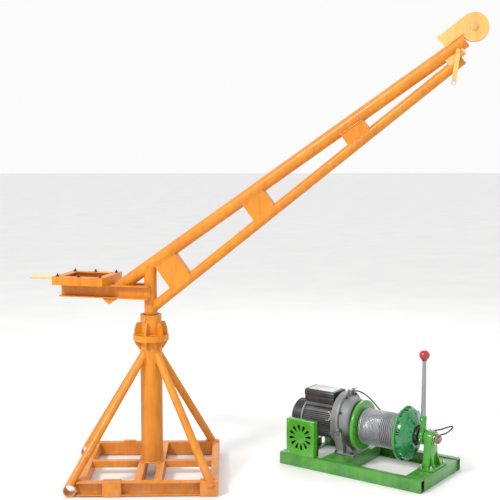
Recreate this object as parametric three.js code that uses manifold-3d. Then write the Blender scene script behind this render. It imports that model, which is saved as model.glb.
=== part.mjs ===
// Small slewing construction hoist: welded base, slewing boom with a head sheave,
// counterweight platform, and its electric winch standing beside the base.
// Millimetres, +Z up, +X along the front of the base, +Y away from the operator.

import * as THREE from 'three';
import { mergeVertices } from 'three/addons/utils/BufferGeometryUtils.js';
import Module from 'manifold-3d';

const wasm = await Module();
wasm.setup();

// ---------------------------------------------------------------- driving dimensions

const GAP = 0.3;                 // clearance kept between touching pieces
const TUBE_SIDES = 24;

// base
const BASE_HALF_X = 405;
const BASE_HALF_Y = 410;
const BEAM = { height: 80, flange: 43, web: 5, lip: 7 };
const WRAP = 6;                  // foot wrap plate, and how far the beams clear the floor
const BEAM_TOP = WRAP + BEAM.height;
const KEEL_INNER_X = 36;
const CROSS_LEG = 40;
const SOCKET = { radius: 38, bore: 33.5, length: 90 };
const SOCKET_X = -(BASE_HALF_X + SOCKET.radius + GAP);
const FOOT_WRAPS_FRONT = [[-255, -150], [302, BASE_HALF_X]];
const FOOT_WRAPS_REAR = [[-212, -133], [318, BASE_HALF_X]];

// column and slewing bearing
const COLUMN = { radius: 66.5, bore: 60 };
const FLANGE = { radius: 107, thickness: 18, jointZ: 851 };
const HOUSING = { radius: 64, bore: 55, topZ: 990 };
const RIB = { count: 6, thickness: 9, firstAngle: -75, above: 74, below: 56, foot: 101, shoulder: 86 };
const BOLT = { radius: 8.5, circle: 86 };
const BEARING = { height: 26, lowerZ: 874, upperZ: 950 };

// braces
const BRACE = { radius: 24, bore: 20.5, topZ: 735 };
const BRACE_FEET = {
  brace_front_left: [-432, -388],
  brace_front_right: [355, -394],
  brace_rear_left: [-432, 388],
  brace_rear_right: [362, 392],
};

// slewing boom, in the boom's own plane: s runs outwards, z up
const SLEW_DEG = 16;
const POST = { radius: 38, bore: 31, bottomZ: 862 };
const UPPER = { radius: 38, bore: 34, z0: 1286, slope: 0.702, footS: -225, tipS: 1821 };
const LOWER = { radius: 30, bore: 26.5, z0: 1017, slope: 0.8015, footS: 0, tipS: 1808 };
const SPACER = { width: 150, thickness: 54, wall: 5, stations: [146, 672, 1228] };
const GUSSET = { width: 112, station: 1768 };
const HEAD = { s: 1866, z: 2634, radius: 78, plate: 6, inner: 16 };
const PIN = { radius: 16.5, halfLength: 33 };
const SHEAVE = { radius: 66, groove: 55, halfWidth: 14, bore: 17 };
const LINK = { s: 1786, z: 2506, length: 172, leanDeg: 7.5, width: 25, thickness: 10, eye: 9, nearY: -39.3 };

// counterweight platform
const PLATFORM = { topZ: 1166, leftS: -562, rightS: 10 };
const TRAY = { left: -570, right: -245, halfWidth: 155, leg: 50, wall: 5 };
const HANDLE = { radius: 15, bore: 12, endS: -788, z: 1193 };

// winch, in its own frame: x runs from the motor to the clutch, centred on its skid
const WINCH = { x: 1345, y: 112, yawDeg: -37 };
const SKID = { halfLength: 490, halfWidth: 272, height: 75, rail: 45, wall: 5 };
const AXIS_Z = 255;
const MOTOR = { end: -520, fanCover: -440, body: -215, face: -192.3, radius: 112, wall: 8 };
const GEARBOX = { start: -192, end: -62, radius: 155, cavity: 140, wall: 10, lift: 40 };
const GEAR = { module: 2.88, small: 10, large: 40 };
const GEAR_CENTRES = (GEAR.module * (GEAR.small + GEAR.large)) / 2;
const DRUM = { start: -56, end: 243, flange: 160, barrel: 80, bore: 70, thick: 26, cheek: 10, hub: 20 };
const ROPE = { start: -29.5, end: 232.5, radius: 112 };
const COVER = { start: 243.3, end: 330, radius: 168, bore: 60 };
const SHAFT = { radius: 19, start: -126, end: 480 };
const SLEEVE = { start: 316, end: 346, radius: 54, bore: 19.4 };
const LEVER = { start: 353, end: 382, radius: 44, rodRadius: 12.5, knobZ: 752, knobRadius: 32 };
const PEDESTAL = { start: 386, end: 448, boss: 46, plateX: 370, footHalf: 100 };
const BOX = { left: -440, right: -240, depth: 46, height: 224, wall: 3 };
const CAPACITOR = { left: -432, right: -217, halfWidth: 76, bottom: 115, height: 82 };
const CABLE = { radius: 4.5 };

// ---------------------------------------------------------------- materials

function paint(colour, roughness, metalness) {
  return new THREE.MeshStandardMaterial({ color: colour, roughness, metalness });
}

const ORANGE = () => paint(0xf28a14, 0.4, 0.1);
const CREAM = () => paint(0xe2cfa0, 0.5, 0.1);
const GREEN = () => paint(0x2f9a2a, 0.45, 0.1);
const EMERALD = () => paint(0x128a4a, 0.35, 0.1);
const STEEL = () => paint(0x9c9ea1, 0.35, 0.9);
const DARK_STEEL = () => paint(0x4c4e52, 0.4, 0.8);
const ALUMINIUM = () => paint(0x8e9093, 0.5, 0.7);
const BLACK = () => paint(0x1c1c1e, 0.5, 0.0);
const RED = () => paint(0xc4161c, 0.25, 0.0);

// ---------------------------------------------------------------- solids

function solid(geometry) {
  const bare = geometry.clone();
  bare.deleteAttribute('normal');
  bare.deleteAttribute('uv');
  const merged = mergeVertices(bare, 1e-4);
  return new wasm.Manifold(new wasm.Mesh({
    numProp: 3,
    vertProperties: new Float32Array(merged.attributes.position.array),
    triVerts: new Uint32Array(merged.index.array),
  }));
}

function geometryOf(manifold) {
  const mesh = manifold.getMesh();
  const geometry = new THREE.BufferGeometry();
  geometry.setAttribute('position', new THREE.BufferAttribute(mesh.vertProperties.slice(), 3));
  geometry.setIndex(new THREE.BufferAttribute(mesh.triVerts.slice(), 1));
  return geometry;
}

function block(x0, x1, y0, y1, z0, z1) {
  const box = new THREE.BoxGeometry(x1 - x0, y1 - y0, z1 - z0);
  return solid(box.translate((x0 + x1) / 2, (y0 + y1) / 2, (z0 + z1) / 2));
}

function rod(from, to, radius, sides = TUBE_SIDES) {
  const start = new THREE.Vector3(...from);
  const way = new THREE.Vector3(...to).sub(start);
  const bar = new THREE.CylinderGeometry(radius, radius, way.length(), sides);
  const turn = new THREE.Quaternion().setFromUnitVectors(
    new THREE.Vector3(0, 1, 0), way.clone().normalize());
  bar.applyQuaternion(turn);
  const middle = start.addScaledVector(way, 0.5);
  return solid(bar.translate(middle.x, middle.y, middle.z));
}

function beyond(from, to, extra) {
  const start = new THREE.Vector3(...from);
  const end = new THREE.Vector3(...to);
  const step = end.clone().sub(start).normalize().multiplyScalar(extra);
  return [start.sub(step).toArray(), end.add(step).toArray()];
}

function pipe(from, to, radius, bore, sides = TUBE_SIDES) {
  return rod(from, to, radius, sides).subtract(rod(...beyond(from, to, 5), bore, sides));
}

function prism(points, depth) {
  const shape = new THREE.Shape(points.map(([x, y]) => new THREE.Vector2(x, y)));
  return new THREE.ExtrudeGeometry(shape, { depth, bevelEnabled: false });
}

// Extrudes an outline given in (s, z) through y0..y1.
function upright(points, y0, y1) {
  const plate = prism(points, y1 - y0).rotateX(Math.PI / 2);
  return solid(plate.translate(0, y1, 0));
}

function turned(profile, sides = TUBE_SIDES) {
  return new THREE.LatheGeometry(profile.map(([r, h]) => new THREE.Vector2(r, h)), sides);
}

// A turned ring or bell around the x axis: the profile lists [radius, x].
function turnedAlongX(profile, sides = TUBE_SIDES) {
  return solid(turned(profile, sides).rotateZ(-Math.PI / 2));
}

function ring(outer, inner, z0, z1, sides = TUBE_SIDES) {
  return solid(turned([[inner, z0], [outer, z0], [outer, z1], [inner, z1], [inner, z0]], sides)
    .rotateX(Math.PI / 2));
}

function washerAlongX(outer, inner, x0, x1, sides = TUBE_SIDES) {
  return turnedAlongX([[inner, x0], [outer, x0], [outer, x1], [inner, x1], [inner, x0]], sides);
}

// Channel section: the web's outer face on u = 0, flanges towards +u, height along v.
function channelOutline({ height, flange, web, lip }) {
  return [[0, 0], [flange, 0], [flange, lip], [web, lip], [web, height - lip],
    [flange, height - lip], [flange, height], [0, height]];
}

// Runs an outline (u, v) from a start point: length along `along`, u along `across`, v up.
function bar(outline, length, start, along, across) {
  const z = new THREE.Vector3(0, 0, 1);
  const u = new THREE.Vector3(...across);
  const w = new THREE.Vector3(...along);
  const basis = new THREE.Matrix4().makeBasis(u, z, w).setPosition(...start);
  const extrusion = prism(outline, length);
  extrusion.applyMatrix4(basis);
  if (basis.determinant() < 0) flip(extrusion);
  return solid(extrusion);
}

function flip(geometry) {
  const position = geometry.attributes.position;
  for (let i = 0; i < position.count; i += 3) {
    const first = [position.getX(i), position.getY(i), position.getZ(i)];
    position.setXYZ(i, position.getX(i + 1), position.getY(i + 1), position.getZ(i + 1));
    position.setXYZ(i + 1, ...first);
  }
}

function radians(degrees) {
  return THREE.MathUtils.degToRad(degrees);
}

function add(group, name, manifold, material) {
  const mesh = new THREE.Mesh(geometryOf(manifold), material);
  mesh.name = name;
  group.add(mesh);
}

// ---------------------------------------------------------------- base

const base = new THREE.Group();

function footWraps(spans, side) {
  const outer = side * (BASE_HALF_Y + WRAP);
  const face = side * BASE_HALF_Y;
  const inner = side * (BASE_HALF_Y - BEAM.flange + 4);
  const sorted = (a, b) => [Math.min(a, b), Math.max(a, b)];
  return spans.map(([x0, x1]) => block(x0, x1, ...sorted(outer, face), 0, BEAM_TOP + WRAP)
    .add(block(x0, x1, ...sorted(face, inner), BEAM_TOP, BEAM_TOP + WRAP))
    .add(block(x0, x1, ...sorted(face, inner), 0, WRAP)));
}

function endBeam(side, spans) {
  const webY = side * (BASE_HALF_Y - BEAM.flange);
  const beam = bar(channelOutline(BEAM), 2 * BASE_HALF_X,
    [-BASE_HALF_X, webY, WRAP], [1, 0, 0], [0, side, 0]);
  return footWraps(spans, side).reduce((sum, wrap) => sum.add(wrap), beam);
}

const innerY = BASE_HALF_Y - BEAM.flange - GAP;
const backingPlate = block(FOOT_WRAPS_REAR[1][0], BASE_HALF_X - BEAM.flange - GAP,
  innerY + GAP - WRAP, innerY + GAP, WRAP, BEAM_TOP);
add(base, 'front_beam', endBeam(-1, FOOT_WRAPS_FRONT), ORANGE());
add(base, 'rear_beam', endBeam(1, FOOT_WRAPS_REAR).add(backingPlate), ORANGE());

function longBeam(webX, side, reach = innerY) {
  return bar(channelOutline(BEAM), 2 * reach, [webX, -reach, WRAP], [0, 1, 0], [side, 0, 0]);
}

const sideWebX = BASE_HALF_X - BEAM.flange;
add(base, 'left_beam', longBeam(-sideWebX, -1), ORANGE());
add(base, 'right_beam', longBeam(sideWebX, 1), ORANGE());
add(base, 'keel_beam_left', longBeam(-KEEL_INNER_X, -1), ORANGE());
add(base, 'keel_beam_right', longBeam(KEEL_INNER_X, 1), ORANGE());

function crossAngle(x0, x1) {
  const half = CROSS_LEG / 2;
  const wall = BEAM.web;
  return block(x0, x1, -half, half, BEAM_TOP - wall, BEAM_TOP)
    .add(block(x0, x1, -half, -half + wall, BEAM_TOP - CROSS_LEG, BEAM_TOP));
}

const keelOuterX = KEEL_INNER_X + BEAM.flange + GAP;
add(base, 'cross_angle_left', crossAngle(-sideWebX + GAP, -keelOuterX), ORANGE());
add(base, 'cross_angle_right', crossAngle(keelOuterX, sideWebX - GAP), ORANGE());

function socketEnds(side) {
  const outer = side * BASE_HALF_Y;
  const inner = side * (BASE_HALF_Y - SOCKET.length);
  return [[SOCKET_X, outer, SOCKET.radius], [SOCKET_X, inner, SOCKET.radius]];
}

for (const [name, side] of [['socket_front', -1], ['socket_rear', 1]]) {
  add(base, name, pipe(...socketEnds(side), SOCKET.radius, SOCKET.bore), ORANGE());
}

// ---------------------------------------------------------------- braces

const columnEnvelope = rod([0, 0, 0], [0, 0, FLANGE.jointZ], COLUMN.radius + GAP);
const floorEnvelope = block(-BASE_HALF_X - GAP, BASE_HALF_X + GAP, -BASE_HALF_Y - WRAP - GAP,
  BASE_HALF_Y + WRAP + GAP, -200, BEAM_TOP + GAP);
const wrapTop = (spans, side) => spans.map(([x0, x1]) => block(x0 - GAP, x1 + GAP,
  side > 0 ? BASE_HALF_Y - BEAM.flange : -BASE_HALF_Y - WRAP - GAP,
  side > 0 ? BASE_HALF_Y + WRAP + GAP : -BASE_HALF_Y + BEAM.flange,
  -200, BEAM_TOP + WRAP + GAP));
const braceObstacles = [columnEnvelope, floorEnvelope,
  ...wrapTop(FOOT_WRAPS_FRONT, -1), ...wrapTop(FOOT_WRAPS_REAR, 1),
  ...[-1, 1].map((side) => rod(...beyond(...socketEnds(side), 60), SOCKET.radius + GAP))];

function brace([footX, footY]) {
  const reach = Math.hypot(footX, footY);
  const inside = COLUMN.bore * 0.5;
  const slope = (BRACE.topZ - BEAM_TOP) / (reach - COLUMN.radius);
  const top = [footX * inside / reach, footY * inside / reach,
    BRACE.topZ + slope * (COLUMN.radius - inside)];
  const below = 30;
  const bottom = [footX * (1 + below / slope / reach), footY * (1 + below / slope / reach),
    BEAM_TOP - below];
  const tube = pipe(bottom, top, BRACE.radius, BRACE.bore, 24);
  const cut = braceObstacles.reduce((rest, obstacle) => rest.subtract(obstacle), tube);
  const pieces = cut.decompose();
  return pieces.reduce((best, piece) => (piece.volume() > best.volume() ? piece : best));
}

for (const [name, foot] of Object.entries(BRACE_FEET)) {
  add(base, name, brace(foot), ORANGE());
}

// ---------------------------------------------------------------- column and bearing

add(base, 'column_tube',
  pipe([0, 0, BEAM_TOP + GAP], [0, 0, FLANGE.jointZ - GAP], COLUMN.radius, COLUMN.bore), ORANGE());

// One rib, radial outline [radius, z], turned to its place round the column.
function rib(outline, angleDeg) {
  const plate = prism(outline, RIB.thickness).translate(0, 0, -RIB.thickness / 2);
  plate.rotateX(Math.PI / 2);
  plate.rotateZ(radians(angleDeg - 90));
  return solid(plate);
}

function ribsOn(body, outline) {
  let sum = body;
  for (let i = 0; i < RIB.count; i += 1) {
    sum = sum.add(rib(outline, RIB.firstAngle + (360 / RIB.count) * i));
  }
  return sum;
}

function boltHoles(body) {
  let rest = body;
  for (let i = 0; i < RIB.count; i += 1) {
    const angle = radians(RIB.firstAngle - 90 + (360 / RIB.count) * (i + 0.5));
    const x = BOLT.circle * Math.cos(angle);
    const y = BOLT.circle * Math.sin(angle);
    rest = rest.subtract(rod([x, y, FLANGE.jointZ - 40], [x, y, FLANGE.jointZ + 40], BOLT.radius, 12));
  }
  return rest;
}

const lowerFace = FLANGE.jointZ - FLANGE.thickness;
const lowerRibs = [[COLUMN.radius + GAP + 0.5, lowerFace + 1], [RIB.foot, lowerFace + 1],
  [RIB.foot, lowerFace - 12], [COLUMN.radius + 5, lowerFace - RIB.below],
  [COLUMN.radius + GAP + 0.5, lowerFace - RIB.below]];
const columnRing = ring(FLANGE.radius, COLUMN.radius + GAP, lowerFace, FLANGE.jointZ - GAP);
add(base, 'column_flange', boltHoles(ribsOn(columnRing, lowerRibs)), ORANGE());

const upperFace = FLANGE.jointZ + FLANGE.thickness;
const upperRibs = [[HOUSING.radius - 2, upperFace - 1], [RIB.foot, upperFace - 1],
  [RIB.foot, upperFace + 30], [RIB.shoulder, upperFace + RIB.above],
  [HOUSING.radius - 2, upperFace + RIB.above]];
const housingTurned = ring(FLANGE.radius, HOUSING.bore, FLANGE.jointZ, upperFace)
  .add(ring(HOUSING.radius, HOUSING.bore, FLANGE.jointZ, HOUSING.topZ));
add(base, 'bearing_housing', boltHoles(ribsOn(housingTurned, upperRibs)), ORANGE());

for (const [name, z] of [['lower_bearing', BEARING.lowerZ], ['upper_bearing', BEARING.upperZ]]) {
  add(base, name, ring(HOUSING.bore - GAP, POST.radius + 0.8, z, z + BEARING.height), STEEL());
}

// ---------------------------------------------------------------- slewing boom

const boom = new THREE.Group();
boom.rotation.z = radians(-SLEW_DEG);

const heightOn = (tube, s) => tube.z0 + tube.slope * s;
const tubePoint = (tube, s) => [s, 0, heightOn(tube, s)];
const envelope = (tube, extra) => rod(
  ...beyond(tubePoint(tube, tube.footS), tubePoint(tube, tube.tipS), extra), tube.radius + GAP);

const upperEnvelope = envelope(UPPER, 0);
const upperLong = envelope(UPPER, 60);
const lowerEnvelope = envelope(LOWER, 60);
const postEnvelope = rod([0, 0, POST.bottomZ], [0, 0, UPPER.z0], POST.radius + GAP);

const post = pipe([0, 0, POST.bottomZ], [0, 0, UPPER.z0], POST.radius, POST.bore)
  .subtract(upperEnvelope);
add(boom, 'slewing_post', post, ORANGE());

const footCut = block(UPPER.footS - 100, 0, -60, 60, 1000, PLATFORM.topZ - 34);
const upperTube = pipe(tubePoint(UPPER, UPPER.footS), tubePoint(UPPER, UPPER.tipS),
  UPPER.radius, UPPER.bore).subtract(footCut);
add(boom, 'boom_upper_tube', upperTube, ORANGE());

const lowerTube = pipe(tubePoint(LOWER, LOWER.footS), tubePoint(LOWER, LOWER.tipS),
  LOWER.radius, LOWER.bore).subtract(postEnvelope);
const outerPiece = lowerTube.decompose()
  .reduce((best, piece) => (piece.volume() > best.volume() ? piece : best));
add(boom, 'boom_lower_tube', outerPiece, ORANGE());

const boomTilt = (Math.atan(UPPER.slope) + Math.atan(LOWER.slope)) / 2;

// A block set square to the boom at station s, between the two tubes.
function boomBlock(s, along, thickness, across) {
  const middleZ = (heightOn(UPPER, s) + heightOn(LOWER, s)) / 2;
  const box = new THREE.BoxGeometry(along, thickness, across);
  box.rotateY(-boomTilt);
  return solid(box.translate(s, 0, middleZ));
}

SPACER.stations.forEach((s, i) => {
  const across = (heightOn(UPPER, s) - heightOn(LOWER, s)) * Math.cos(boomTilt);
  const spacer = boomBlock(s, SPACER.width, SPACER.thickness, across)
    .subtract(boomBlock(s, SPACER.width - 2 * SPACER.wall,
      SPACER.thickness - 2 * SPACER.wall, across + 40))
    .subtract(upperEnvelope)
    .subtract(lowerEnvelope);
  add(boom, `boom_spacer_${i + 1}`, spacer, ORANGE());
});

const gusset = boomBlock(GUSSET.station, GUSSET.width, SPACER.thickness, 62)
  .add(rod([LINK.s, -20, LINK.z], [LINK.s, LINK.nearY + GAP, LINK.z], 12, 20))
  .subtract(upperLong)
  .subtract(lowerEnvelope);
add(boom, 'tip_gusset', gusset, ORANGE());

// Cheek plate: a round nose on a straight tail that stands on the upper tube.
function cheekOutline() {
  const tail = [1666, 2580];
  const toCentre = Math.atan2(HEAD.z - tail[1], HEAD.s - tail[0]);
  const spread = Math.asin(HEAD.radius / Math.hypot(HEAD.s - tail[0], HEAD.z - tail[1]));
  const first = toCentre + spread + Math.PI / 2;
  const last = radians(-145);
  const steps = 30;
  const points = [tail];
  for (let i = 0; i <= steps; i += 1) {
    const angle = first + ((last - first) * i) / steps;
    points.push([HEAD.s + HEAD.radius * Math.cos(angle), HEAD.z + HEAD.radius * Math.sin(angle)]);
  }
  points.push(tubePoint(UPPER, 1790).filter((_, axis) => axis !== 1));
  points.push(tubePoint(UPPER, 1738).filter((_, axis) => axis !== 1));
  return points.reverse();
}

for (const [name, side] of [['head_plate_near', -1], ['head_plate_far', 1]]) {
  const faces = [side * HEAD.inner, side * (HEAD.inner + HEAD.plate)].sort((a, b) => a - b);
  const plate = upright(cheekOutline(), ...faces)
    .subtract(upperEnvelope)
    .subtract(rod([HEAD.s, -60, HEAD.z], [HEAD.s, 60, HEAD.z], PIN.radius + GAP, 24));
  const kept = plate.decompose()
    .reduce((best, piece) => (piece.volume() > best.volume() ? piece : best));
  add(boom, name, kept, ORANGE());
}

add(boom, 'sheave_pin', rod([HEAD.s, -PIN.halfLength, HEAD.z], [HEAD.s, PIN.halfLength, HEAD.z],
  PIN.radius, 24), STEEL());

const sheaveProfile = [[SHEAVE.bore, -SHEAVE.halfWidth], [SHEAVE.radius, -SHEAVE.halfWidth],
  [SHEAVE.radius, -SHEAVE.halfWidth + 3], [SHEAVE.groove, -4], [SHEAVE.groove, 4],
  [SHEAVE.radius, SHEAVE.halfWidth - 3], [SHEAVE.radius, SHEAVE.halfWidth],
  [SHEAVE.bore, SHEAVE.halfWidth], [SHEAVE.bore, -SHEAVE.halfWidth]];
add(boom, 'head_sheave', solid(turned(sheaveProfile, 32).translate(HEAD.s, 0, HEAD.z)), DARK_STEEL());

// Rope anchor link: a flat bar with round ends, hung from its boss, with an eye at the foot.
function anchorLink() {
  const half = LINK.width / 2;
  const arc = (centreZ, from, to) => Array.from({ length: 9 }, (_, i) => {
    const angle = radians(from + ((to - from) * i) / 8);
    return [half * Math.cos(angle), centreZ + half * Math.sin(angle)];
  });
  const outline = [...arc(0, 0, 180), ...arc(-LINK.length, 180, 360)];
  const plate = upright(outline, LINK.nearY - LINK.thickness, LINK.nearY)
    .subtract(rod([0, -80, -LINK.length], [0, 0, -LINK.length], LINK.eye, 20));
  return plate.rotate([0, LINK.leanDeg, 0]).translate([LINK.s, 0, LINK.z]);
}

add(boom, 'rope_anchor_link', anchorLink(), ORANGE());

// ---------------------------------------------------------------- platform

function platformBeam(side) {
  const length = PLATFORM.rightS - PLATFORM.leftS;
  const webY = side * (POST.radius + GAP);
  return bar(channelOutline(BEAM), length,
    [PLATFORM.leftS, webY, PLATFORM.topZ - BEAM.height], [1, 0, 0], [0, side, 0]);
}

add(boom, 'platform_beam_near', platformBeam(-1), ORANGE());
add(boom, 'platform_beam_far', platformBeam(1), ORANGE());

// Angle iron with mitred ends: outer face on v = 0, length along x, top leg inwards.
function trayRail(length) {
  const { leg, wall } = TRAY;
  const angle = block(0, length, 0, leg, leg - wall, leg).add(block(0, length, 0, wall, 0, leg));
  const mitre = prism([[GAP, 0], [length - GAP, 0], [length - leg - GAP, leg], [leg + GAP, leg]], leg);
  return angle.intersect(solid(mitre));
}

const trayLength = TRAY.right - TRAY.left;
const trayWidth = 2 * TRAY.halfWidth;
const trayZ = PLATFORM.topZ + GAP;
const trayRails = [
  ['tray_rail_near', trayLength, 0, [TRAY.left, -TRAY.halfWidth, trayZ]],
  ['tray_rail_right', trayWidth, 90, [TRAY.right, -TRAY.halfWidth, trayZ]],
  ['tray_rail_far', trayLength, 180, [TRAY.right, TRAY.halfWidth, trayZ]],
  ['tray_rail_left', trayWidth, 270, [TRAY.left, TRAY.halfWidth, trayZ]],
];
for (const [name, length, turn, place] of trayRails) {
  add(boom, name, trayRail(length).rotate([0, 0, turn]).translate(place), ORANGE());
}

add(boom, 'push_handle', pipe([HANDLE.endS, 0, HANDLE.z], [TRAY.left - GAP, 0, HANDLE.z],
  HANDLE.radius, HANDLE.bore, 24), CREAM());

const lugTopZ = PLATFORM.topZ - BEAM.height - GAP;
const lugCorners = [[-285, lugTopZ], [-243, lugTopZ - 38], [-184, lugTopZ]];
add(boom, 'stay_lug', upright(lugCorners, -68, -60), ORANGE());

// ---------------------------------------------------------------- winch skid

const winch = new THREE.Group();
winch.position.set(WINCH.x, WINCH.y, 0);
winch.rotation.z = radians(WINCH.yawDeg);

const skidChannel = { height: SKID.height, flange: SKID.rail, web: SKID.wall, lip: SKID.wall };
function skidRail(side) {
  return bar(channelOutline(skidChannel), 2 * SKID.halfLength,
    [-SKID.halfLength, side * SKID.halfWidth, 0], [1, 0, 0], [0, -side, 0]);
}

add(winch, 'skid_rail_near', skidRail(-1), GREEN());
add(winch, 'skid_rail_far', skidRail(1), GREEN());

const railInner = SKID.halfWidth - SKID.rail - GAP;
add(winch, 'skid_end_left', bar(channelOutline(skidChannel), 2 * railInner,
  [-SKID.halfLength, -railInner, 0], [0, 1, 0], [1, 0, 0]), GREEN());

// Inverted channel: a plate on two downward flanges, across the skid.
function bridge(x0, x1, halfWidth, wall) {
  const height = SKID.height;
  return block(x0, x1, -halfWidth, halfWidth, height - wall, height)
    .add(block(x0, x0 + wall, -halfWidth, halfWidth, 0, height))
    .add(block(x1 - wall, x1, -halfWidth, halfWidth, 0, height));
}

add(winch, 'gearbox_bridge', bridge(-205, -45, railInner, SKID.wall), GREEN());
add(winch, 'pedestal_bridge', bridge(PEDESTAL.plateX, SKID.halfLength, railInner, SKID.wall), GREEN());

function controlBox() {
  const y0 = -SKID.halfWidth;
  const y1 = y0 + BOX.depth;
  const z0 = SKID.height + GAP;
  const z1 = z0 + BOX.height;
  const { left, right, wall } = BOX;
  return block(left, right, y0, y1, z0, z1)
    .subtract(block(left + wall, right - wall, y0 + wall, y1 + 5, z0 + wall, z1 - wall));
}

add(winch, 'control_box', controlBox(), GREEN());

// ---------------------------------------------------------------- motor and gearbox

const onAxis = (manifold) => manifold.translate([0, 0, AXIS_Z]);

function motorHousing() {
  const { end, fanCover, body, face, radius, wall } = MOTOR;
  const shell = turnedAlongX([
    [34, end], [radius - 22, end], [radius - 4, end + 14], [radius - 4, fanCover],
    [radius - 10, fanCover], [radius - 10, body], [radius + 24, body], [radius + 24, face],
    [14, face], [14, body - 6], [radius - 10 - wall - 10, body - 6],
    [radius - 10 - wall - 10, fanCover], [radius - 4 - wall, fanCover - 6],
    [radius - 4 - wall, end + wall + 8], [34, end + wall], [34, end],
  ], 32);
  let finned = shell;
  const fins = 24;
  for (let i = 0; i < fins; i += 1) {
    const angle = 90 + (360 / fins) * (i + 0.5);
    const inTopSector = Math.abs(angle - 90) < 40 || angle > 410;
    if (!inTopSector) {
      const fin = block(fanCover + 4, body - 0.5, -2, 2, radius - 14, radius + 6);
      finned = finned.add(fin.rotate([angle - 90, 0, 0]));
    }
  }
  return finned;
}

add(winch, 'motor_housing', onAxis(motorHousing()), ALUMINIUM());

function capacitorBox() {
  const { left, right, halfWidth, bottom, height } = CAPACITOR;
  const top = bottom + height;
  const outline = [[-halfWidth, bottom], [halfWidth, bottom], [halfWidth, top - 22],
    [halfWidth - 10, top - 5], [halfWidth - 26, top], [-halfWidth + 26, top],
    [-halfWidth + 10, top - 5], [-halfWidth, top - 22]];
  const hull = prism(outline, right - left);
  hull.rotateX(Math.PI / 2).rotateZ(Math.PI / 2);
  const outer = solid(hull.translate(left, 0, 0));
  const inner = block(left + 4, right - 4, -halfWidth + 4, halfWidth - 4, bottom - 5, top - 26);
  return outer.subtract(inner).subtract(rod([left - 5, 0, 0], [right + 5, 0, 0], 113, 32));
}

add(winch, 'capacitor_box', onAxis(capacitorBox()), BLACK());

// The case is centred above the drum's axis, round the layshaft; its two bores stay on the axis.
function gearHousing() {
  const { start, end, radius, cavity, wall, lift } = GEARBOX;
  const hubRadius = MOTOR.radius - 40;
  const outer = turnedAlongX([
    [0, start], [radius, start], [radius, start + 34], [radius + 6, start + 34],
    [radius + 6, start + 52], [radius - 12, start + 52], [radius - 30, end - 14], [0, end - 14],
  ], 32);
  const hollow = turnedAlongX([
    [0, start + wall], [cavity, start + wall], [cavity - 6, start + 48],
    [cavity - 26, end - wall - 14], [0, end - wall - 14],
  ], 32);
  const hub = rod([end - 20, 0, 0], [end, 0, 0], hubRadius, 32);
  const footTop = -60;
  const footBottom = SKID.height + GAP - AXIS_Z;
  const foot = block(start + 8, start + 62, -96, 96, footBottom, footTop);
  const toes = block(start + 2, end + 12, -112, 112, footBottom, footBottom + 12);
  return outer.translate([0, 0, lift]).add(hub).add(foot).add(toes)
    .subtract(hollow.translate([0, 0, lift]))
    .subtract(rod([start - 5, 0, 0], [start + wall + 1, 0, 0], 14, 24))
    .subtract(rod([end - 40, 0, 0], [end + 5, 0, 0], SHAFT.radius + GAP, 24));
}

add(winch, 'gear_housing', onAxis(gearHousing()), ALUMINIUM());

// Straight-flanked gear around the x axis, one tooth centred on `phase` degrees above +y.
function gearWheel(teeth, x0, x1, bore, phase) {
  const pitch = (GEAR.module * teeth) / 2;
  const root = pitch - 1.2 * GEAR.module;
  const tip = pitch + 0.9 * GEAR.module;
  const outline = [];
  for (let i = 0; i < teeth; i += 1) {
    for (const [radius, share] of [[root, -0.3], [tip, -0.12], [tip, 0.12], [root, 0.3]]) {
      const angle = ((i + share) / teeth) * 2 * Math.PI + radians(phase);
      outline.push([radius * Math.cos(angle), radius * Math.sin(angle)]);
    }
  }
  const wheel = prism(outline, x1 - x0);
  wheel.rotateX(Math.PI / 2).rotateZ(Math.PI / 2);
  const body = solid(wheel.translate(x0, 0, 0));
  return bore ? body.subtract(rod([x0 - 5, 0, 0], [x1 + 5, 0, 0], bore, 24)) : body;
}

const STAGE_ONE = [-166, -146];
const STAGE_TWO = [-124, -100];
const halfToothLarge = 180 / GEAR.large;
add(winch, 'main_gear', onAxis(gearWheel(GEAR.large, ...STAGE_TWO, SHAFT.radius + GAP, 90)), STEEL());

const layshaft = rod([-181, 0, 0], [-87, 0, 0], 8, 16)
  .add(gearWheel(GEAR.large, ...STAGE_ONE, 0, 270 + halfToothLarge))
  .add(gearWheel(GEAR.small, STAGE_TWO[0] - 2, STAGE_TWO[1] + 2, 0, 270 + 180 / GEAR.small))
  .translate([0, 0, GEAR_CENTRES]);
add(winch, 'layshaft_gear', onAxis(layshaft), STEEL());

const fanBlades = Array.from({ length: 8 }, (_, i) => block(-502, -478, -1.5, 1.5, 20, 84)
  .rotate([i * 45, 0, 0]));
const rotor = rod([-500, 0, 0], [-172, 0, 0], 12, 20)
  .add(rod([-173, 0, 0], [STAGE_ONE[1] + 2, 0, 0], 9, 16))
  .add(rod([-420, 0, 0], [-250, 0, 0], 60, 24))
  .add(rod([-478, 0, 0], [-472, 0, 0], 86, 24))
  .add(fanBlades.reduce((sum, blade) => sum.add(blade)))
  .add(gearWheel(GEAR.small, STAGE_ONE[0] - 2, STAGE_ONE[1] + 2, 0, 90));
add(winch, 'motor_rotor', onAxis(rotor), STEEL());

// ---------------------------------------------------------------- drum, clutch and lever

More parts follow.
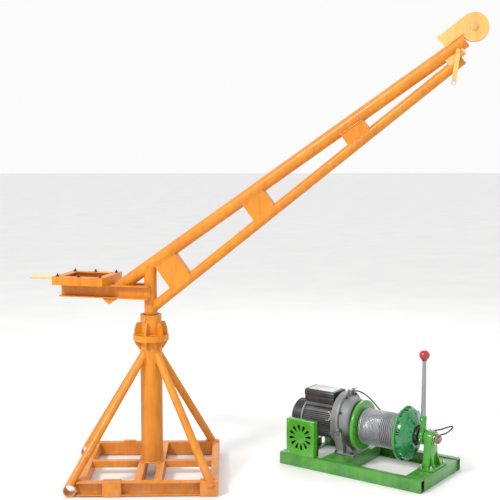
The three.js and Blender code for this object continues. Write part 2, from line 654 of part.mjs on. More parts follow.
const ropeDrum = turnedAlongX([
  [DRUM.hub, DRUM.start], [DRUM.flange - 8, DRUM.start], [DRUM.flange, DRUM.start + 8],
  [DRUM.flange, DRUM.start + DRUM.thick - 8], [DRUM.flange - 8, DRUM.start + DRUM.thick],
  [DRUM.barrel, DRUM.start + DRUM.thick], [DRUM.barrel, DRUM.end - DRUM.cheek],
  [DRUM.flange - 8, DRUM.end - DRUM.cheek], [DRUM.flange - 8, DRUM.end], [DRUM.bore, DRUM.end],
  [DRUM.bore, DRUM.start + DRUM.thick], [DRUM.hub, DRUM.start + DRUM.thick],
  [DRUM.hub, DRUM.start],
], 36);
add(winch, 'rope_drum', onAxis(ropeDrum), GREEN());

add(winch, 'rope_winding', onAxis(washerAlongX(ROPE.radius, DRUM.barrel + GAP,
  ROPE.start, ROPE.end, 36)), STEEL());

const clutchCover = turnedAlongX([
  [DRUM.bore + 10, COVER.start], [COVER.radius, COVER.start], [COVER.radius, COVER.start + 34],
  [COVER.radius - 14, COVER.start + 52], [COVER.radius - 66, COVER.start + 70],
  [COVER.bore + 18, COVER.end - 6], [COVER.bore + 4, COVER.end], [COVER.bore, COVER.end],
  [COVER.bore, COVER.end - 14], [COVER.radius - 68, COVER.start + 58],
  [COVER.radius - 22, COVER.start + 42], [COVER.radius - 14, COVER.start + 14],
  [DRUM.bore + 10, COVER.start + 14], [DRUM.bore + 10, COVER.start],
], 36);
add(winch, 'clutch_cover', onAxis(clutchCover), EMERALD());

const shaftNut = rod([SHAFT.end - 26, 0, 0], [SHAFT.end - 6, 0, 0], 30, 6);
add(winch, 'drum_shaft', onAxis(rod([SHAFT.start, 0, 0], [SHAFT.end, 0, 0], SHAFT.radius, 24)
  .add(shaftNut)), STEEL());

add(winch, 'clutch_sleeve', onAxis(washerAlongX(SLEEVE.radius, SLEEVE.bore,
  SLEEVE.start, SLEEVE.end)), DARK_STEEL());

const leverArm = block(LEVER.start + 4, LEVER.end - 4, -15, 15, LEVER.radius - 6, 96);
const leverRod = rod([366, 0, 60], [366, 0, LEVER.knobZ - AXIS_Z - LEVER.knobRadius + 2],
  LEVER.rodRadius, 20);
const lever = washerAlongX(LEVER.radius, SHAFT.radius + GAP, LEVER.start, LEVER.end)
  .add(leverArm)
  .add(leverRod);
add(winch, 'clutch_lever', onAxis(lever), STEEL());

const knob = solid(new THREE.SphereGeometry(LEVER.knobRadius, 18, 10))
  .subtract(rod([0, 0, -LEVER.knobRadius - 5], [0, 0, -LEVER.knobRadius + 3], LEVER.rodRadius + GAP, 20))
  .translate([366, 0, LEVER.knobZ]);
add(winch, 'lever_knob', knob, RED());

function bearingPedestal() {
  const { start, end, boss, footHalf } = PEDESTAL;
  const floor = SKID.height + GAP - AXIS_Z;
  const outline = [[-66, floor + 10], [66, floor + 10], [boss, 0], [-boss, 0]];
  const post = prism(outline, end - start - 16);
  post.rotateX(Math.PI / 2).rotateZ(Math.PI / 2);
  return solid(post.translate(start + 8, 0, 0))
    .add(rod([start, 0, 0], [end, 0, 0], boss, 32))
    .add(block(start - 6, end + 30, -footHalf, footHalf, floor, floor + 12))
    .subtract(rod([start - 5, 0, 0], [end + 5, 0, 0], SHAFT.radius + GAP, 24));
}

add(winch, 'bearing_pedestal', onAxis(bearingPedestal()), GREEN());

// ---------------------------------------------------------------- power cable

// From the terminal box's far side, behind the gear housing and the drum, to the pedestal.
const cableRoute = [
  [-250, 76.5, 408], [-250, 86, 408], [-240, 108, 412], [-212, 140, 420], [-170, 158, 422],
  [-120, 168, 402], [-70, 178, 360],
  [-20, 186, 310], [60, 192, 262], [150, 196, 232], [240, 198, 226], [320, 196, 236],
  [390, 190, 256], [448, 176, 284], [492, 142, 304], [504, 104, 300], [482, 82, 276],
  [446, 80, 258], [424, 68, 248], [417, 58, 247], [417, 49.5, 247],
];
const cableCurve = new THREE.CatmullRomCurve3(cableRoute.map((p) => new THREE.Vector3(...p)));
const cableSection = new THREE.Shape();
cableSection.absarc(0, 0, CABLE.radius, 0, 2 * Math.PI);
const cable = new THREE.ExtrudeGeometry(cableSection, {
  steps: 52, curveSegments: 4, bevelEnabled: false, extrudePath: cableCurve,
});
add(winch, 'power_cable', solid(cable), BLACK());

// ---------------------------------------------------------------- assembly

const assembly = new THREE.Group();
assembly.add(base, boom, winch);
assembly.updateMatrixWorld(true);

// The frame's origin is the middle of the whole part's footprint, on the floor.
const footprint = new THREE.Box3().setFromObject(assembly, true);
const middle = footprint.getCenter(new THREE.Vector3());
assembly.position.set(-middle.x, -middle.y, 0);

const hoist = new THREE.Group();
hoist.add(assembly);

export default hoist;
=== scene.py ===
"""Looks of the slewing construction hoist and its winch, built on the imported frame."""
import random
from math import asin, atan, atan2, cos, hypot, pi, radians, sin, sqrt

import bmesh
import bpy
from mathutils import Matrix, Vector


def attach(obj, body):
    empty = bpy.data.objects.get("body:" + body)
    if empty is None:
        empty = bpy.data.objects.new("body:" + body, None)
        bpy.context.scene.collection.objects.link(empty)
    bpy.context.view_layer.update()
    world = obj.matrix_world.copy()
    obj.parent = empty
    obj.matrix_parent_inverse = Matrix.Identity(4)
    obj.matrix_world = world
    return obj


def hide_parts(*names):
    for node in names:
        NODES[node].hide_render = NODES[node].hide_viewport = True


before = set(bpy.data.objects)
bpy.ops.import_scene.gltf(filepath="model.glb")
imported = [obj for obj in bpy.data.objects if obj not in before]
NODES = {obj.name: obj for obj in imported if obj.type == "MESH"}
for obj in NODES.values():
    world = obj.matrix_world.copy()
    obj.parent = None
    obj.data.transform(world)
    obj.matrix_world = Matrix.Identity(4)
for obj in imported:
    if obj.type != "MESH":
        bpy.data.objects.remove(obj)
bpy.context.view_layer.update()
random.seed(7)

# ---------------------------------------------------------------- places, in millimetres


def shift(by):
    return Matrix.Translation(by)


def about_x(degrees):
    return Matrix.Rotation(radians(degrees), 4, "X")


def along_x(u, v, w):
    return Vector((w, u, v))


def along_y(u, v, w):
    return Vector((u, w, v))


def turned(turn):
    return lambda u, v, w: turn @ Vector((u, w, v))


SCALE = Matrix.Scale(0.001, 4)
ORIGIN = shift((-0.569208, -0.033566, 0.0))
BASE = ORIGIN @ SCALE
BOOM = ORIGIN @ Matrix.Rotation(radians(-16), 4, "Z") @ SCALE
WINCH = ORIGIN @ shift((1.345, 0.112, 0)) @ Matrix.Rotation(radians(-37), 4, "Z") @ SCALE
AXLE = WINCH @ shift((0, 0, 255))      # on the drum's axis, x from motor to clutch
BEAM_TOP, BRACE_TOP, COLUMN_RADIUS = 86.0, 735, 66.5             # the base frame and its column
HEAD_PIN, LEVER_X = (1866, 0, 2634), 366               # in the boom's frame, and on the axle

# ---------------------------------------------------------------- camera and light

camera_data = bpy.data.cameras.new("camera")
camera_data.lens = 72.79
camera_data.sensor_width = 36
camera_data.clip_end = 100
camera = bpy.data.objects.new("camera", camera_data)
camera.location = (-0.1147, -6.0547, 2.0175)
camera.rotation_euler = (radians(90 - 6.088), 0, radians(-1.355))
bpy.context.scene.collection.objects.link(camera)
bpy.context.scene.camera = camera


def area_light(name, place, target, size, power, colour=(1, 1, 1)):
    data = bpy.data.lights.new(name, "AREA")
    data.shape = "DISK"
    data.size = size
    data.energy = power
    data.color = colour
    light = bpy.data.objects.new(name, data)
    light.location = place
    light.rotation_euler = (Vector(target) - Vector(place)).to_track_quat("-Z", "Y").to_euler()
    bpy.context.scene.collection.objects.link(light)


area_light("key", (-4.2, -4.2, 5.6), (0, 0, 0.9), 1.4, 340, (1, 0.985, 0.96))
area_light("fill", (4.6, -4.0, 2.8), (0.2, 0, 0.7), 3.0, 16, (0.95, 0.98, 1))
area_light("back", (1.5, 4.6, 4.6), (0, 0, 0.9), 3.0, 60)

world = bpy.data.worlds.new("studio")
world.use_nodes = True
world.node_tree.nodes["Background"].inputs["Color"].default_value = (1, 1, 1, 1)
world.node_tree.nodes["Background"].inputs["Strength"].default_value = 0.97
bpy.context.scene.world = world
bpy.context.scene.view_settings.view_transform = "Standard"

# ---------------------------------------------------------------- materials


class Nodes:
    """A material's node tree with short calls for the patterns used here."""

    def __init__(self, name):
        self.material = bpy.data.materials.new(name)
        self.material.use_nodes = True
        self.tree = self.material.node_tree
        self.shader = self.tree.nodes["Principled BSDF"]
        self.place = self.tree.nodes.new("ShaderNodeTexCoord").outputs["Object"]

    def link(self, source, target):
        self.tree.links.new(source, target)

    def stretched(self, scale):
        mapping = self.tree.nodes.new("ShaderNodeMapping")
        mapping.inputs["Scale"].default_value = scale
        self.link(self.place, mapping.inputs["Vector"])
        return mapping.outputs["Vector"]

    def noise(self, scale, detail=4, rough=0.5, vector=None):
        node = self.tree.nodes.new("ShaderNodeTexNoise")
        node.inputs["Scale"].default_value = scale
        node.inputs["Detail"].default_value = detail
        node.inputs["Roughness"].default_value = rough
        self.link(vector or self.place, node.inputs["Vector"])
        return node.outputs["Fac"]

    def ramp(self, source, low, high, start=0.0, end=1.0):
        node = self.tree.nodes.new("ShaderNodeMapRange")
        node.inputs["From Min"].default_value = low
        node.inputs["From Max"].default_value = high
        node.inputs["To Min"].default_value = start
        node.inputs["To Max"].default_value = end
        self.link(source, node.inputs["Value"])
        return node.outputs["Result"]

    def mix(self, factor, first, second):
        node = self.tree.nodes.new("ShaderNodeMix")
        node.data_type = "RGBA"
        self.link(factor, node.inputs["Factor"])
        for value, socket in ((first, node.inputs[6]), (second, node.inputs[7])):
            if isinstance(value, tuple):
                socket.default_value = (*value, 1)
            else:
                self.link(value, socket)
        return node.outputs[2]

    def bump(self, *layers):
        normal = None
        for height, strength, distance in layers:
            node = self.tree.nodes.new("ShaderNodeBump")
            node.inputs["Strength"].default_value = strength
            node.inputs["Distance"].default_value = distance
            self.link(height, node.inputs["Height"])
            if normal:
                self.link(normal, node.inputs["Normal"])
            normal = node.outputs["Normal"]
        self.link(normal, self.shader.inputs["Normal"])

    def set(self, **values):
        for name, value in values.items():
            self.shader.inputs[name.replace("_", " ")].default_value = value


def painted(name, base, light, deep, chip, gloss=0.34, coat=0.35, chips=0.735, dust=0.16):
    """Sprayed enamel: slow hue drift, fine mottle, orange peel, small chips and dust near the floor."""
    n = Nodes(name)
    drift = n.ramp(n.noise(3.5, 4), 0.32, 0.68)
    colour = n.mix(drift, base, light)
    runs = n.ramp(n.noise(1.0, 3, 0.6, n.stretched((38, 38, 7))), 0.42, 0.74)
    colour = n.mix(n.ramp(runs, 0, 1, 0, 0.38), colour, deep)
    speckle = n.ramp(n.noise(170, 3, 0.7), 0.35, 0.7, 0, 0.10)
    colour = n.mix(speckle, colour, deep)
    chipped = n.ramp(n.noise(46, 8, 0.74), chips, chips + 0.015)
    patch = n.ramp(n.noise(5, 2), 0.52, 0.62)
    both = n.tree.nodes.new("ShaderNodeMath")
    both.operation = "MULTIPLY"
    n.link(chipped, both.inputs[0])
    n.link(patch, both.inputs[1])
    colour = n.mix(both.outputs[0], colour, chip)
    axes = n.tree.nodes.new("ShaderNodeSeparateXYZ")
    n.link(n.place, axes.inputs[0])
    low = n.ramp(axes.outputs["Z"], 0.30, 0.0, 0, dust)
    dusty = n.tree.nodes.new("ShaderNodeMath")
    dusty.operation = "MULTIPLY"
    n.link(low, dusty.inputs[0])
    n.link(n.ramp(n.noise(14, 5, 0.65), 0.35, 0.65), dusty.inputs[1])
    colour = n.mix(dusty.outputs[0], colour, (0.52, 0.46, 0.38))
    n.link(colour, n.shader.inputs["Base Color"])
    n.link(n.ramp(n.noise(22, 5, 0.6), 0.3, 0.75, gloss - 0.06, gloss + 0.14), n.shader.inputs["Roughness"])
    n.set(Coat_Weight=coat, Coat_Roughness=0.12)
    n.bump((n.noise(420, 2), 0.10, 0.0006), (n.noise(34, 3), 0.10, 0.002), (both.outputs[0], 0.25, -0.0006))
    return n.material


def metal(name, base, light, rough=0.3, scale=(60, 60, 900), stain=(0.25, 0.17, 0.1), stained=0.15, metallic=1.0):
    """Machined or drawn metal: fine directional lines, blotches of oil or rust."""
    n = Nodes(name)
    lines = n.noise(1, 3, 0.7, n.stretched(scale))
    colour = n.mix(n.ramp(lines, 0.3, 0.7), base, light)
    blotch = n.ramp(n.noise(28, 6, 0.65), 0.52, 0.75, 0, stained)
    colour = n.mix(blotch, colour, stain)
    n.link(colour, n.shader.inputs["Base Color"])
    n.link(n.ramp(n.noise(45, 5), 0.3, 0.7, rough - 0.08, rough + 0.14), n.shader.inputs["Roughness"])
    n.set(Metallic=metallic)
    n.bump((lines, 0.16, 0.0004), (n.noise(90, 3), 0.06, 0.0008))
    return n.material


def cast(name, base, light, deep, rough=0.48, metallic=0.55, grain=0.35):
    """Sand or die casting: grainy skin with darker hollows."""
    n = Nodes(name)
    colour = n.mix(n.ramp(n.noise(9, 5), 0.3, 0.7), base, light)
    colour = n.mix(n.ramp(n.noise(260, 3, 0.7), 0.4, 0.75, 0, 0.35), colour, deep)
    n.link(colour, n.shader.inputs["Base Color"])
    n.link(n.ramp(n.noise(60, 5), 0.3, 0.7, rough - 0.08, rough + 0.12), n.shader.inputs["Roughness"])
    n.set(Metallic=metallic)
    n.bump((n.noise(520, 3, 0.7), grain, 0.0006), (n.noise(60, 4), 0.12, 0.0014))
    return n.material


def moulded(name, base, light, rough=0.42, coat=0.1, grain=0.2):
    """Moulded plastic or rubber with a fine sparked texture and faint handling marks."""
    n = Nodes(name)
    colour = n.mix(n.ramp(n.noise(16, 5, 0.6), 0.35, 0.7), base, light)
    n.link(colour, n.shader.inputs["Base Color"])
    n.link(n.ramp(n.noise(38, 6, 0.7), 0.3, 0.75, rough - 0.08, rough + 0.16), n.shader.inputs["Roughness"])
    n.set(Coat_Weight=coat, Coat_Roughness=0.2)
    n.bump((n.noise(900, 2), grain, 0.0003), (n.noise(40, 3), 0.06, 0.0012))
    return n.material


def wire_rope(name):
    """Galvanised strands: slanted ridges across the rope's own length, painted shade in the grooves between them, and
    blotches of dirt.
    """
    n = Nodes(name)
    uv = n.tree.nodes.new("ShaderNodeUVMap").outputs["UV"]
    wave = n.tree.nodes.new("ShaderNodeTexWave")
    wave.wave_type = "BANDS"
    wave.bands_direction = "DIAGONAL"
    wave.inputs["Scale"].default_value = 1.0
    wave.inputs["Distortion"].default_value = 0.1
    n.link(uv, wave.inputs["Vector"])
    # light on the strand ridges, painted shade (the near-black colour) in the grooves between them
    ridge_and_groove_shade = n.ramp(wave.outputs["Fac"], 0.15, 0.75)
    colour = n.mix(ridge_and_groove_shade, (0.10, 0.10, 0.11), (0.62, 0.64, 0.68))
    colour = n.mix(n.ramp(n.noise(30, 6, 0.7), 0.5, 0.8, 0, 0.16), colour, (0.22, 0.20, 0.18))
    n.link(colour, n.shader.inputs["Base Color"])
    n.link(n.ramp(n.noise(70, 4), 0.3, 0.7, 0.24, 0.42), n.shader.inputs["Roughness"])
    n.set(Metallic=0.9)
    n.bump((wave.outputs["Fac"], 0.8, 0.0008), (n.noise(600, 2), 0.1, 0.0003))
    return n.material


ORANGE = painted("orange_enamel", (0.64, 0.200, 0.002), (0.72, 0.262, 0.005), (0.33, 0.076, 0.002),
                 (0.18, 0.065, 0.026), 0.42, 0.08)
PALE = painted("pale_orange_enamel", (0.82, 0.42, 0.100), (0.88, 0.50, 0.17), (0.72, 0.24, 0.02),
               (0.30, 0.12, 0.04), 0.4)
CREAM = painted("cream_enamel", (0.72, 0.50, 0.24), (0.84, 0.68, 0.40), (0.48, 0.30, 0.12), (0.30, 0.2, 0.12), 0.38)
GREEN = painted("green_enamel", (0.030, 0.235, 0.014), (0.055, 0.32, 0.022), (0.012, 0.12, 0.008),
                (0.10, 0.12, 0.09), 0.3, 0.5, 0.76, 0.10)
BRIGHT = painted("bright_green_enamel", (0.035, 0.30, 0.010), (0.075, 0.40, 0.018), (0.015, 0.15, 0.006),
                 (0.10, 0.12, 0.09), 0.24, 0.6, 0.78, 0.0)
EMERALD = painted("emerald_enamel", (0.004, 0.215, 0.055), (0.012, 0.30, 0.085), (0.002, 0.09, 0.025),
                  (0.05, 0.12, 0.08), 0.24, 0.7, 0.79, 0.0)
WELD = painted("weld_bead", (0.70, 0.20, 0.010), (0.90, 0.33, 0.02), (0.34, 0.08, 0.004), (0.16, 0.06, 0.03),
               0.42, 0.2, 0.68, 0.1)
STEEL = metal("bright_steel", (0.42, 0.43, 0.44), (0.62, 0.63, 0.64), 0.30)
LEVER_STEEL = metal("lever_steel", (0.27, 0.28, 0.285), (0.40, 0.41, 0.42), 0.36, (300, 300, 14),
                    (0.2, 0.16, 0.12), 0.2, 0.75)
DARK = metal("dark_steel", (0.045, 0.048, 0.052), (0.12, 0.125, 0.13), 0.34, (500, 500, 60),
             (0.08, 0.06, 0.045), 0.2, 0.85)
RUSTY = metal("thread_steel", (0.20, 0.14, 0.10), (0.42, 0.34, 0.27), 0.42, (220, 220, 220),
              (0.16, 0.06, 0.02), 0.6, 0.75)
ZINC = metal("zinc_fastener", (0.50, 0.49, 0.44), (0.74, 0.73, 0.68), 0.26, (200, 200, 200), (0.3, 0.2, 0.1), 0.25)
CAST = cast("cast_aluminium", (0.235, 0.24, 0.245), (0.34, 0.345, 0.35), (0.10, 0.10, 0.105))
MOTOR = cast("motor_casting", (0.13, 0.135, 0.14), (0.22, 0.225, 0.23), (0.05, 0.05, 0.053), 0.42, 0.4)
BLACK = moulded("black_moulding", (0.012, 0.012, 0.013), (0.035, 0.035, 0.037), 0.34, 0.35)
# near-black matte finish that is painted shade: it stands for the dark interior seen through openings
INSIDE_SHADE = moulded("painted_inside_shade", (0.006, 0.008, 0.006), (0.014, 0.016, 0.014), 0.75, 0.0)
LABEL = moulded("blank_label", (0.46, 0.465, 0.47), (0.66, 0.665, 0.67), 0.3, 0.4, 0.05)
RUBBER = moulded("cable_sheath", (0.010, 0.010, 0.011), (0.028, 0.028, 0.029), 0.5, 0.05, 0.3)
RED = moulded("red_ball", (0.34, 0.004, 0.006), (0.48, 0.010, 0.010), 0.14, 0.9, 0.02)
NYLON = moulded("clear_tie", (0.62, 0.62, 0.60), (0.80, 0.80, 0.78), 0.3, 0.3, 0.05)
ROPE = wire_rope("wire_rope")

# ---------------------------------------------------------------- shading of kept CAD nodes


def smooth_group(limit_deg=32):
    """Geometry nodes that shade smooth except across edges sharper than the limit."""
    group = bpy.data.node_groups.new("smooth_by_angle", "GeometryNodeTree")
    group.interface.new_socket("Geometry", in_out="INPUT", socket_type="NodeSocketGeometry")
    group.interface.new_socket("Geometry", in_out="OUTPUT", socket_type="NodeSocketGeometry")
    add = group.nodes.new
    start, end = add("NodeGroupInput"), add("NodeGroupOutput")
    faces, edges = add("GeometryNodeSetShadeSmooth"), add("GeometryNodeSetShadeSmooth")
    faces.domain, edges.domain = "FACE", "EDGE"
    angle, compare = add("GeometryNodeInputMeshEdgeAngle"), add("FunctionNodeCompare")
    compare.operation = "GREATER_THAN"
    compare.inputs[1].default_value = radians(limit_deg)
    edges.inputs["Shade Smooth"].default_value = False
    link = group.links.new
    link(start.outputs[0], faces.inputs["Geometry"])
    link(faces.outputs["Geometry"], edges.inputs["Geometry"])
    link(angle.outputs["Unsigned Angle"], compare.inputs[0])
    link(compare.outputs["Result"], edges.inputs["Selection"])
    link(edges.outputs["Geometry"], end.inputs[0])
    return group


SMOOTH = smooth_group()


def finish_mesh(obj, bevel=0.0, weld=False):
    if weld:
        obj.modifiers.new("weld", "WELD").merge_threshold = 0.00002
    if bevel:
        edge = obj.modifiers.new("edge", "BEVEL")
        edge.width = bevel / 1000
        edge.segments = 2
        edge.limit_method = "ANGLE"
        edge.angle_limit = radians(40)
        edge.miter_outer = "MITER_ARC"
    obj.modifiers.new("smooth", "NODES").node_group = SMOOTH


def dress(material, *names, bevel=0.0):
    """Keeps a CAD node and gives it its finish."""
    for name in names:
        node = NODES[name]
        node.data.materials.clear()
        node.data.materials.append(material)
        finish_mesh(node, bevel, weld=True)


# ---------------------------------------------------------------- mesh making


class Piece:
    """Collects solids in millimetres in one local frame, then becomes one object."""

    def __init__(self):
        self.mesh = bmesh.new()

    def solid(self, rings, close_ring=True, caps=True):
        rows = [[self.mesh.verts.new(p) for p in ring] for ring in rings]
        count = len(rows[0])
        for a, b in zip(rows, rows[1:]):
            for i in range(count if close_ring else count - 1):
                j = (i + 1) % count
                self.mesh.faces.new((a[i], a[j], b[j], b[i]))
        if caps:
            self.mesh.faces.new(list(reversed(rows[0])))
            self.mesh.faces.new(rows[-1])
        return self

    def box(self, x0, x1, y0, y1, z0, z1, turn=None):
        rings = [[Vector(p) for p in ((x0, y0, z), (x1, y0, z), (x1, y1, z), (x0, y1, z))]
                 for z in (z0, z1)]
        if turn:
            rings = [[turn @ p for p in ring] for ring in rings]
        return self.solid(rings)

    def lathe(self, profile, steps=96, closed=True, turn=None, arc=360.0, axis="X"):
        """Profile [radius, height] turned around the local x axis, or another axis."""
        frames = []
        count = steps if arc >= 360 else steps + 1
        for i in range(count):
            a = radians(arc) * i / steps
            ring = []
            for r, h in profile:
                p = Vector((h, r * cos(a), r * sin(a)))
                if axis == "Z":
                    p = Vector((r * cos(a), r * sin(a), h))
                elif axis == "Y":
                    p = Vector((r * sin(a), h, r * cos(a)))
                ring.append(turn @ p if turn else p)
            frames.append(ring)
        if arc >= 360:
            frames.append(None)
        rows = [[self.mesh.verts.new(p) for p in ring] for ring in frames if ring]
        if arc >= 360:
            rows.append(rows[0])
        size = len(profile)
        for a, b in zip(rows, rows[1:]):
            for i in range(size if closed else size - 1):
                j = (i + 1) % size
                self.mesh.faces.new((a[i], a[j], b[j], b[i]))
        if arc < 360 and closed:
            self.mesh.faces.new(rows[0])
            self.mesh.faces.new(list(reversed(rows[-1])))
        return self

    def sweep(self, points, radius, sides=16, closed=False, rough=0.0, uv=None):
        """Round section along a path; radius may be a function of the share of the way."""
        points = [Vector(p) for p in points]
        count = len(points)
        layer = self.mesh.loops.layers.uv.verify() if uv else None
        normal = None
        rows, run = [], 0.0
        for i, p in enumerate(points):
            if closed:
                way = (points[(i + 1) % count] - points[i - 1]).normalized()
            else:
                way = (points[min(i + 1, count - 1)] - points[max(i - 1, 0)]).normalized()
            if normal is None:
                normal = way.orthogonal().normalized()
            normal = (normal - way * normal.dot(way)).normalized()
            side = way.cross(normal)
            r = radius(i / max(count - 1, 1)) if callable(radius) else radius
            if i:
                run += (p - points[i - 1]).length
            row = []
            for k in range(sides):
                a = 2 * pi * k / sides
                grow = r * (1 + rough * random.uniform(-1, 1))
                row.append(self.mesh.verts.new(p + (normal * cos(a) + side * sin(a)) * grow))
            rows.append((row, run))
        pairs = list(zip(rows, rows[1:]))
        if closed:
            pairs.append((rows[-1], rows[0]))
        for (a, s), (b, t) in pairs:
            for k in range(sides):
                j = (k + 1) % sides
                face = self.mesh.faces.new((a[k], a[j], b[j], b[k]))
                if layer:
                    for loop, value in zip(face.loops, ((s, k), (s, k + 1), (t, k + 1), (t, k))):
                        loop[layer].uv = (value[0] * uv[0], value[1] * uv[1] / sides)
        if not closed:
            self.mesh.faces.new(list(reversed(rows[0][0])))
            self.mesh.faces.new(rows[-1][0])
        return self

    def prism(self, outline, start, end, place):
        """Outline of (u, v) pushed from start to end; place(u, v, w) gives the local point."""
        return self.solid([[place(u, v, w) for u, v in outline] for w in (start, end)])

    def hexbolt(self, at, way, across=13.0, height=6.0, washer=0.0, sides=6):
        """A bolt head standing on `at`, pointing along `way`."""
        way = Vector(way).normalized()
        turn = Matrix.Translation(at) @ way.to_track_quat("X", "Z").to_matrix().to_4x4()
        r = across / 2 / cos(pi / sides)
        base = 0.0
        if washer:
            self.lathe([(0.2, 0), (washer, 0), (washer, 1.4), (0.2, 1.4)], 24, True, turn)
            base = 1.4
        rings = []
        for h, k in ((base, 1), (base + height * 0.82, 1), (base + height, 0.86)):
            rings.append([turn @ Vector((h, r * k * cos(2 * pi * i / sides), r * k * sin(2 * pi * i / sides)))
                          for i in range(sides)])
        return self.solid(rings)

    def socket_screw(self, at, way, radius=6.0, height=6.0):
        """Cap screw: a round head with a rolled edge and a dark recess."""
        way = Vector(way).normalized()
        turn = Matrix.Translation(at) @ way.to_track_quat("X", "Z").to_matrix().to_4x4()
        return self.lathe([(0.2, 0), (radius, 0), (radius, height - 1), (radius - 1, height),
                           (radius * 0.5, height), (radius * 0.45, height - 3), (0.2, height - 3)], 20, True, turn)

    def make(self, name, body, slot, material, place, bevel=0.0, replaces=()):
        bmesh.ops.recalc_face_normals(self.mesh, faces=self.mesh.faces)
        data = bpy.data.meshes.new(name)
        self.mesh.to_mesh(data)
        self.mesh.free()
        data.transform(place)
        obj = bpy.data.objects.new(name, data)
        bpy.context.scene.collection.objects.link(obj)
        data.materials.append(material)
        finish_mesh(obj, bevel)
        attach(obj, body)
        if replaces:
            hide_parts(*replaces)
        return obj


def cut(obj, cutter_piece, place):
    """Takes a cutter's solids out of an object and leaves a plain mesh."""
    bmesh.ops.recalc_face_normals(cutter_piece.mesh, faces=cutter_piece.mesh.faces)
    data = bpy.data.meshes.new("cutter")
    cutter_piece.mesh.to_mesh(data)
    cutter_piece.mesh.free()
    data.transform(place)
    tool = bpy.data.objects.new("cutter", data)
    bpy.context.scene.collection.objects.link(tool)
    boolean = obj.modifiers.new("cut", "BOOLEAN")
    boolean.operation = "DIFFERENCE"
    boolean.solver = "EXACT"
    boolean.object = tool
    others = [m for m in obj.modifiers if m.name != "cut"]
    for m in others:
        m.show_viewport = False
    graph = bpy.context.evaluated_depsgraph_get()
    result = bpy.data.meshes.new_from_object(obj.evaluated_get(graph))
    obj.modifiers.remove(boolean)
    obj.data = result
    for m in others:
        m.show_viewport = True
    bpy.data.objects.remove(tool)


def arc(centre, radius, start, end, steps=8):
    return [(centre[0] + radius * cos(radians(start + (end - start) * i / steps)),
             centre[1] + radius * sin(radians(start + (end - start) * i / steps))) for i in range(steps + 1)]


def along(points, spacing):
    """Resamples a path at even spacing."""
    out = []
    for a, b in zip(points, points[1:]):
        a, b = Vector(a), Vector(b)
        steps = max(1, int((b - a).length / spacing))
        out += [a.lerp(b, i / steps) for i in range(steps)]
    return out + [Vector(points[-1])]


def bead(name, body, paths, place, width=4.0, closed=False, material=None):
    """Weld beads: a rippled run along each path."""
    piece = Piece()
    for path in paths:
        points = along(path + [path[0]] if closed else path, 3.2)
        if closed:
            points = points[:-1]
        ripple = lambda t, n=len(points): width * (0.92 + 0.16 * sin(t * n * 2.1))
        piece.sweep(points, ripple, 8, closed, 0.08)
    return piece.make(name, body, "orange_paint", material or WELD, place)


def circle(centre, radius, normal="Z", steps=48, start=0, sweep=360):
    out = []
    for i in range(steps + (0 if sweep == 360 else 1)):
        a = radians(start + sweep * i / steps)
        u, v = radius * cos(a), radius * sin(a)
        x, y, z = centre
        out.append({"Z": (x + u, y + v, z), "X": (x, y + u, z + v), "Y": (x + v, y, z + u)}[normal])
    return out


# ---------------------------------------------------------------- hoist frame

dress(ORANGE, "front_beam", "rear_beam", "left_beam", "right_beam", "keel_beam_left", "keel_beam_right",
      "cross_angle_left", "cross_angle_right", "platform_beam_near", "platform_beam_far", "tray_rail_near",
      "tray_rail_right", "tray_rail_far", "tray_rail_left", "stay_lug", bevel=1.2)
dress(ORANGE, "socket_front", "socket_rear", "brace_front_left", "brace_front_right", "brace_rear_left",
      "brace_rear_right", "column_tube", "column_flange", "bearing_housing", "slewing_post",
      "boom_upper_tube", "boom_lower_tube", "boom_spacer_1", "boom_spacer_2", "boom_spacer_3")
dress(PALE, "tip_gusset", "head_plate_near", "head_plate_far", "rope_anchor_link")
dress(CREAM, "push_handle")
dress(STEEL, "lower_bearing", "upper_bearing", "sheave_pin", "main_gear", "layshaft_gear", "motor_rotor")
dress(DARK, "head_sheave")

bead("base_column_weld", "root", [circle((0, 0, BEAM_TOP + 3), 68.5)], BASE, 4.5, True)
bead("base_corner_welds", "root", [
    [(sx * 362, sy * 366.8, 10), (sx * 362, sy * 366.8, BEAM_TOP)] for sx in (-1, 1) for sy in (-1, 1)] + [
    [(sx * 36, sy * 366.8, 10), (sx * 36, sy * 366.8, BEAM_TOP)] for sx in (-1, 1) for sy in (-1, 1)] + [
    [(sx * 79.3, -20, BEAM_TOP - 1), (sx * 79.3, 20, BEAM_TOP - 1)] for sx in (-1, 1)] + [
    [(sx * 361.8, -20, BEAM_TOP - 1), (sx * 361.8, 20, BEAM_TOP - 1)] for sx in (-1, 1)] + [
    [(sx * x, sy * 366.7, BEAM_TOP), (sx * (x + 43), sy * 366.7, BEAM_TOP)]
    for sx in (-1, 1) for sy in (-1, 1) for x in (36, 362)],
    BASE, 3.2)
bead("socket_welds", "root", [[(-406, sy * 322, 40), (-406, sy * 408, 40)] for sy in (-1, 1)]
     + [[(-409, sy * 322, 57), (-409, sy * 408, 57)] for sy in (-1, 1)], BASE, 3.4)
wraps = []
for x0, x1, sy in ((-255, -150, -1), (302, 405, -1), (-212, -133, 1), (318, 405, 1)):
    wraps += [[(x0, sy * 411, 8), (x0, sy * 411, 84)], [(x1, sy * 411, 8), (x1, sy * 411, 84)],
              [(x0, sy * 372, 92), (x1, sy * 372, 92)]]
bead("foot_wrap_welds", "root", wraps, BASE, 2.4)


def brace_bead(foot, radius=24.0):
    """Where a leaning tube meets the beam top: an ellipse, longer along the lean."""
    reach = hypot(*foot)
    slope = (BRACE_TOP - BEAM_TOP) / (reach - COLUMN_RADIUS)
    ux, uy = foot[0] / reach, foot[1] / reach
    stretch = sqrt(1 + 1 / slope ** 2)
    points = []
    for i in range(40):
        a = 2 * pi * i / 40
        u, v = radius * 1.05 * stretch * cos(a), radius * 1.05 * sin(a)
        points.append((foot[0] + ux * u - uy * v, foot[1] + uy * u + ux * v, BEAM_TOP + 1.5))
    return points


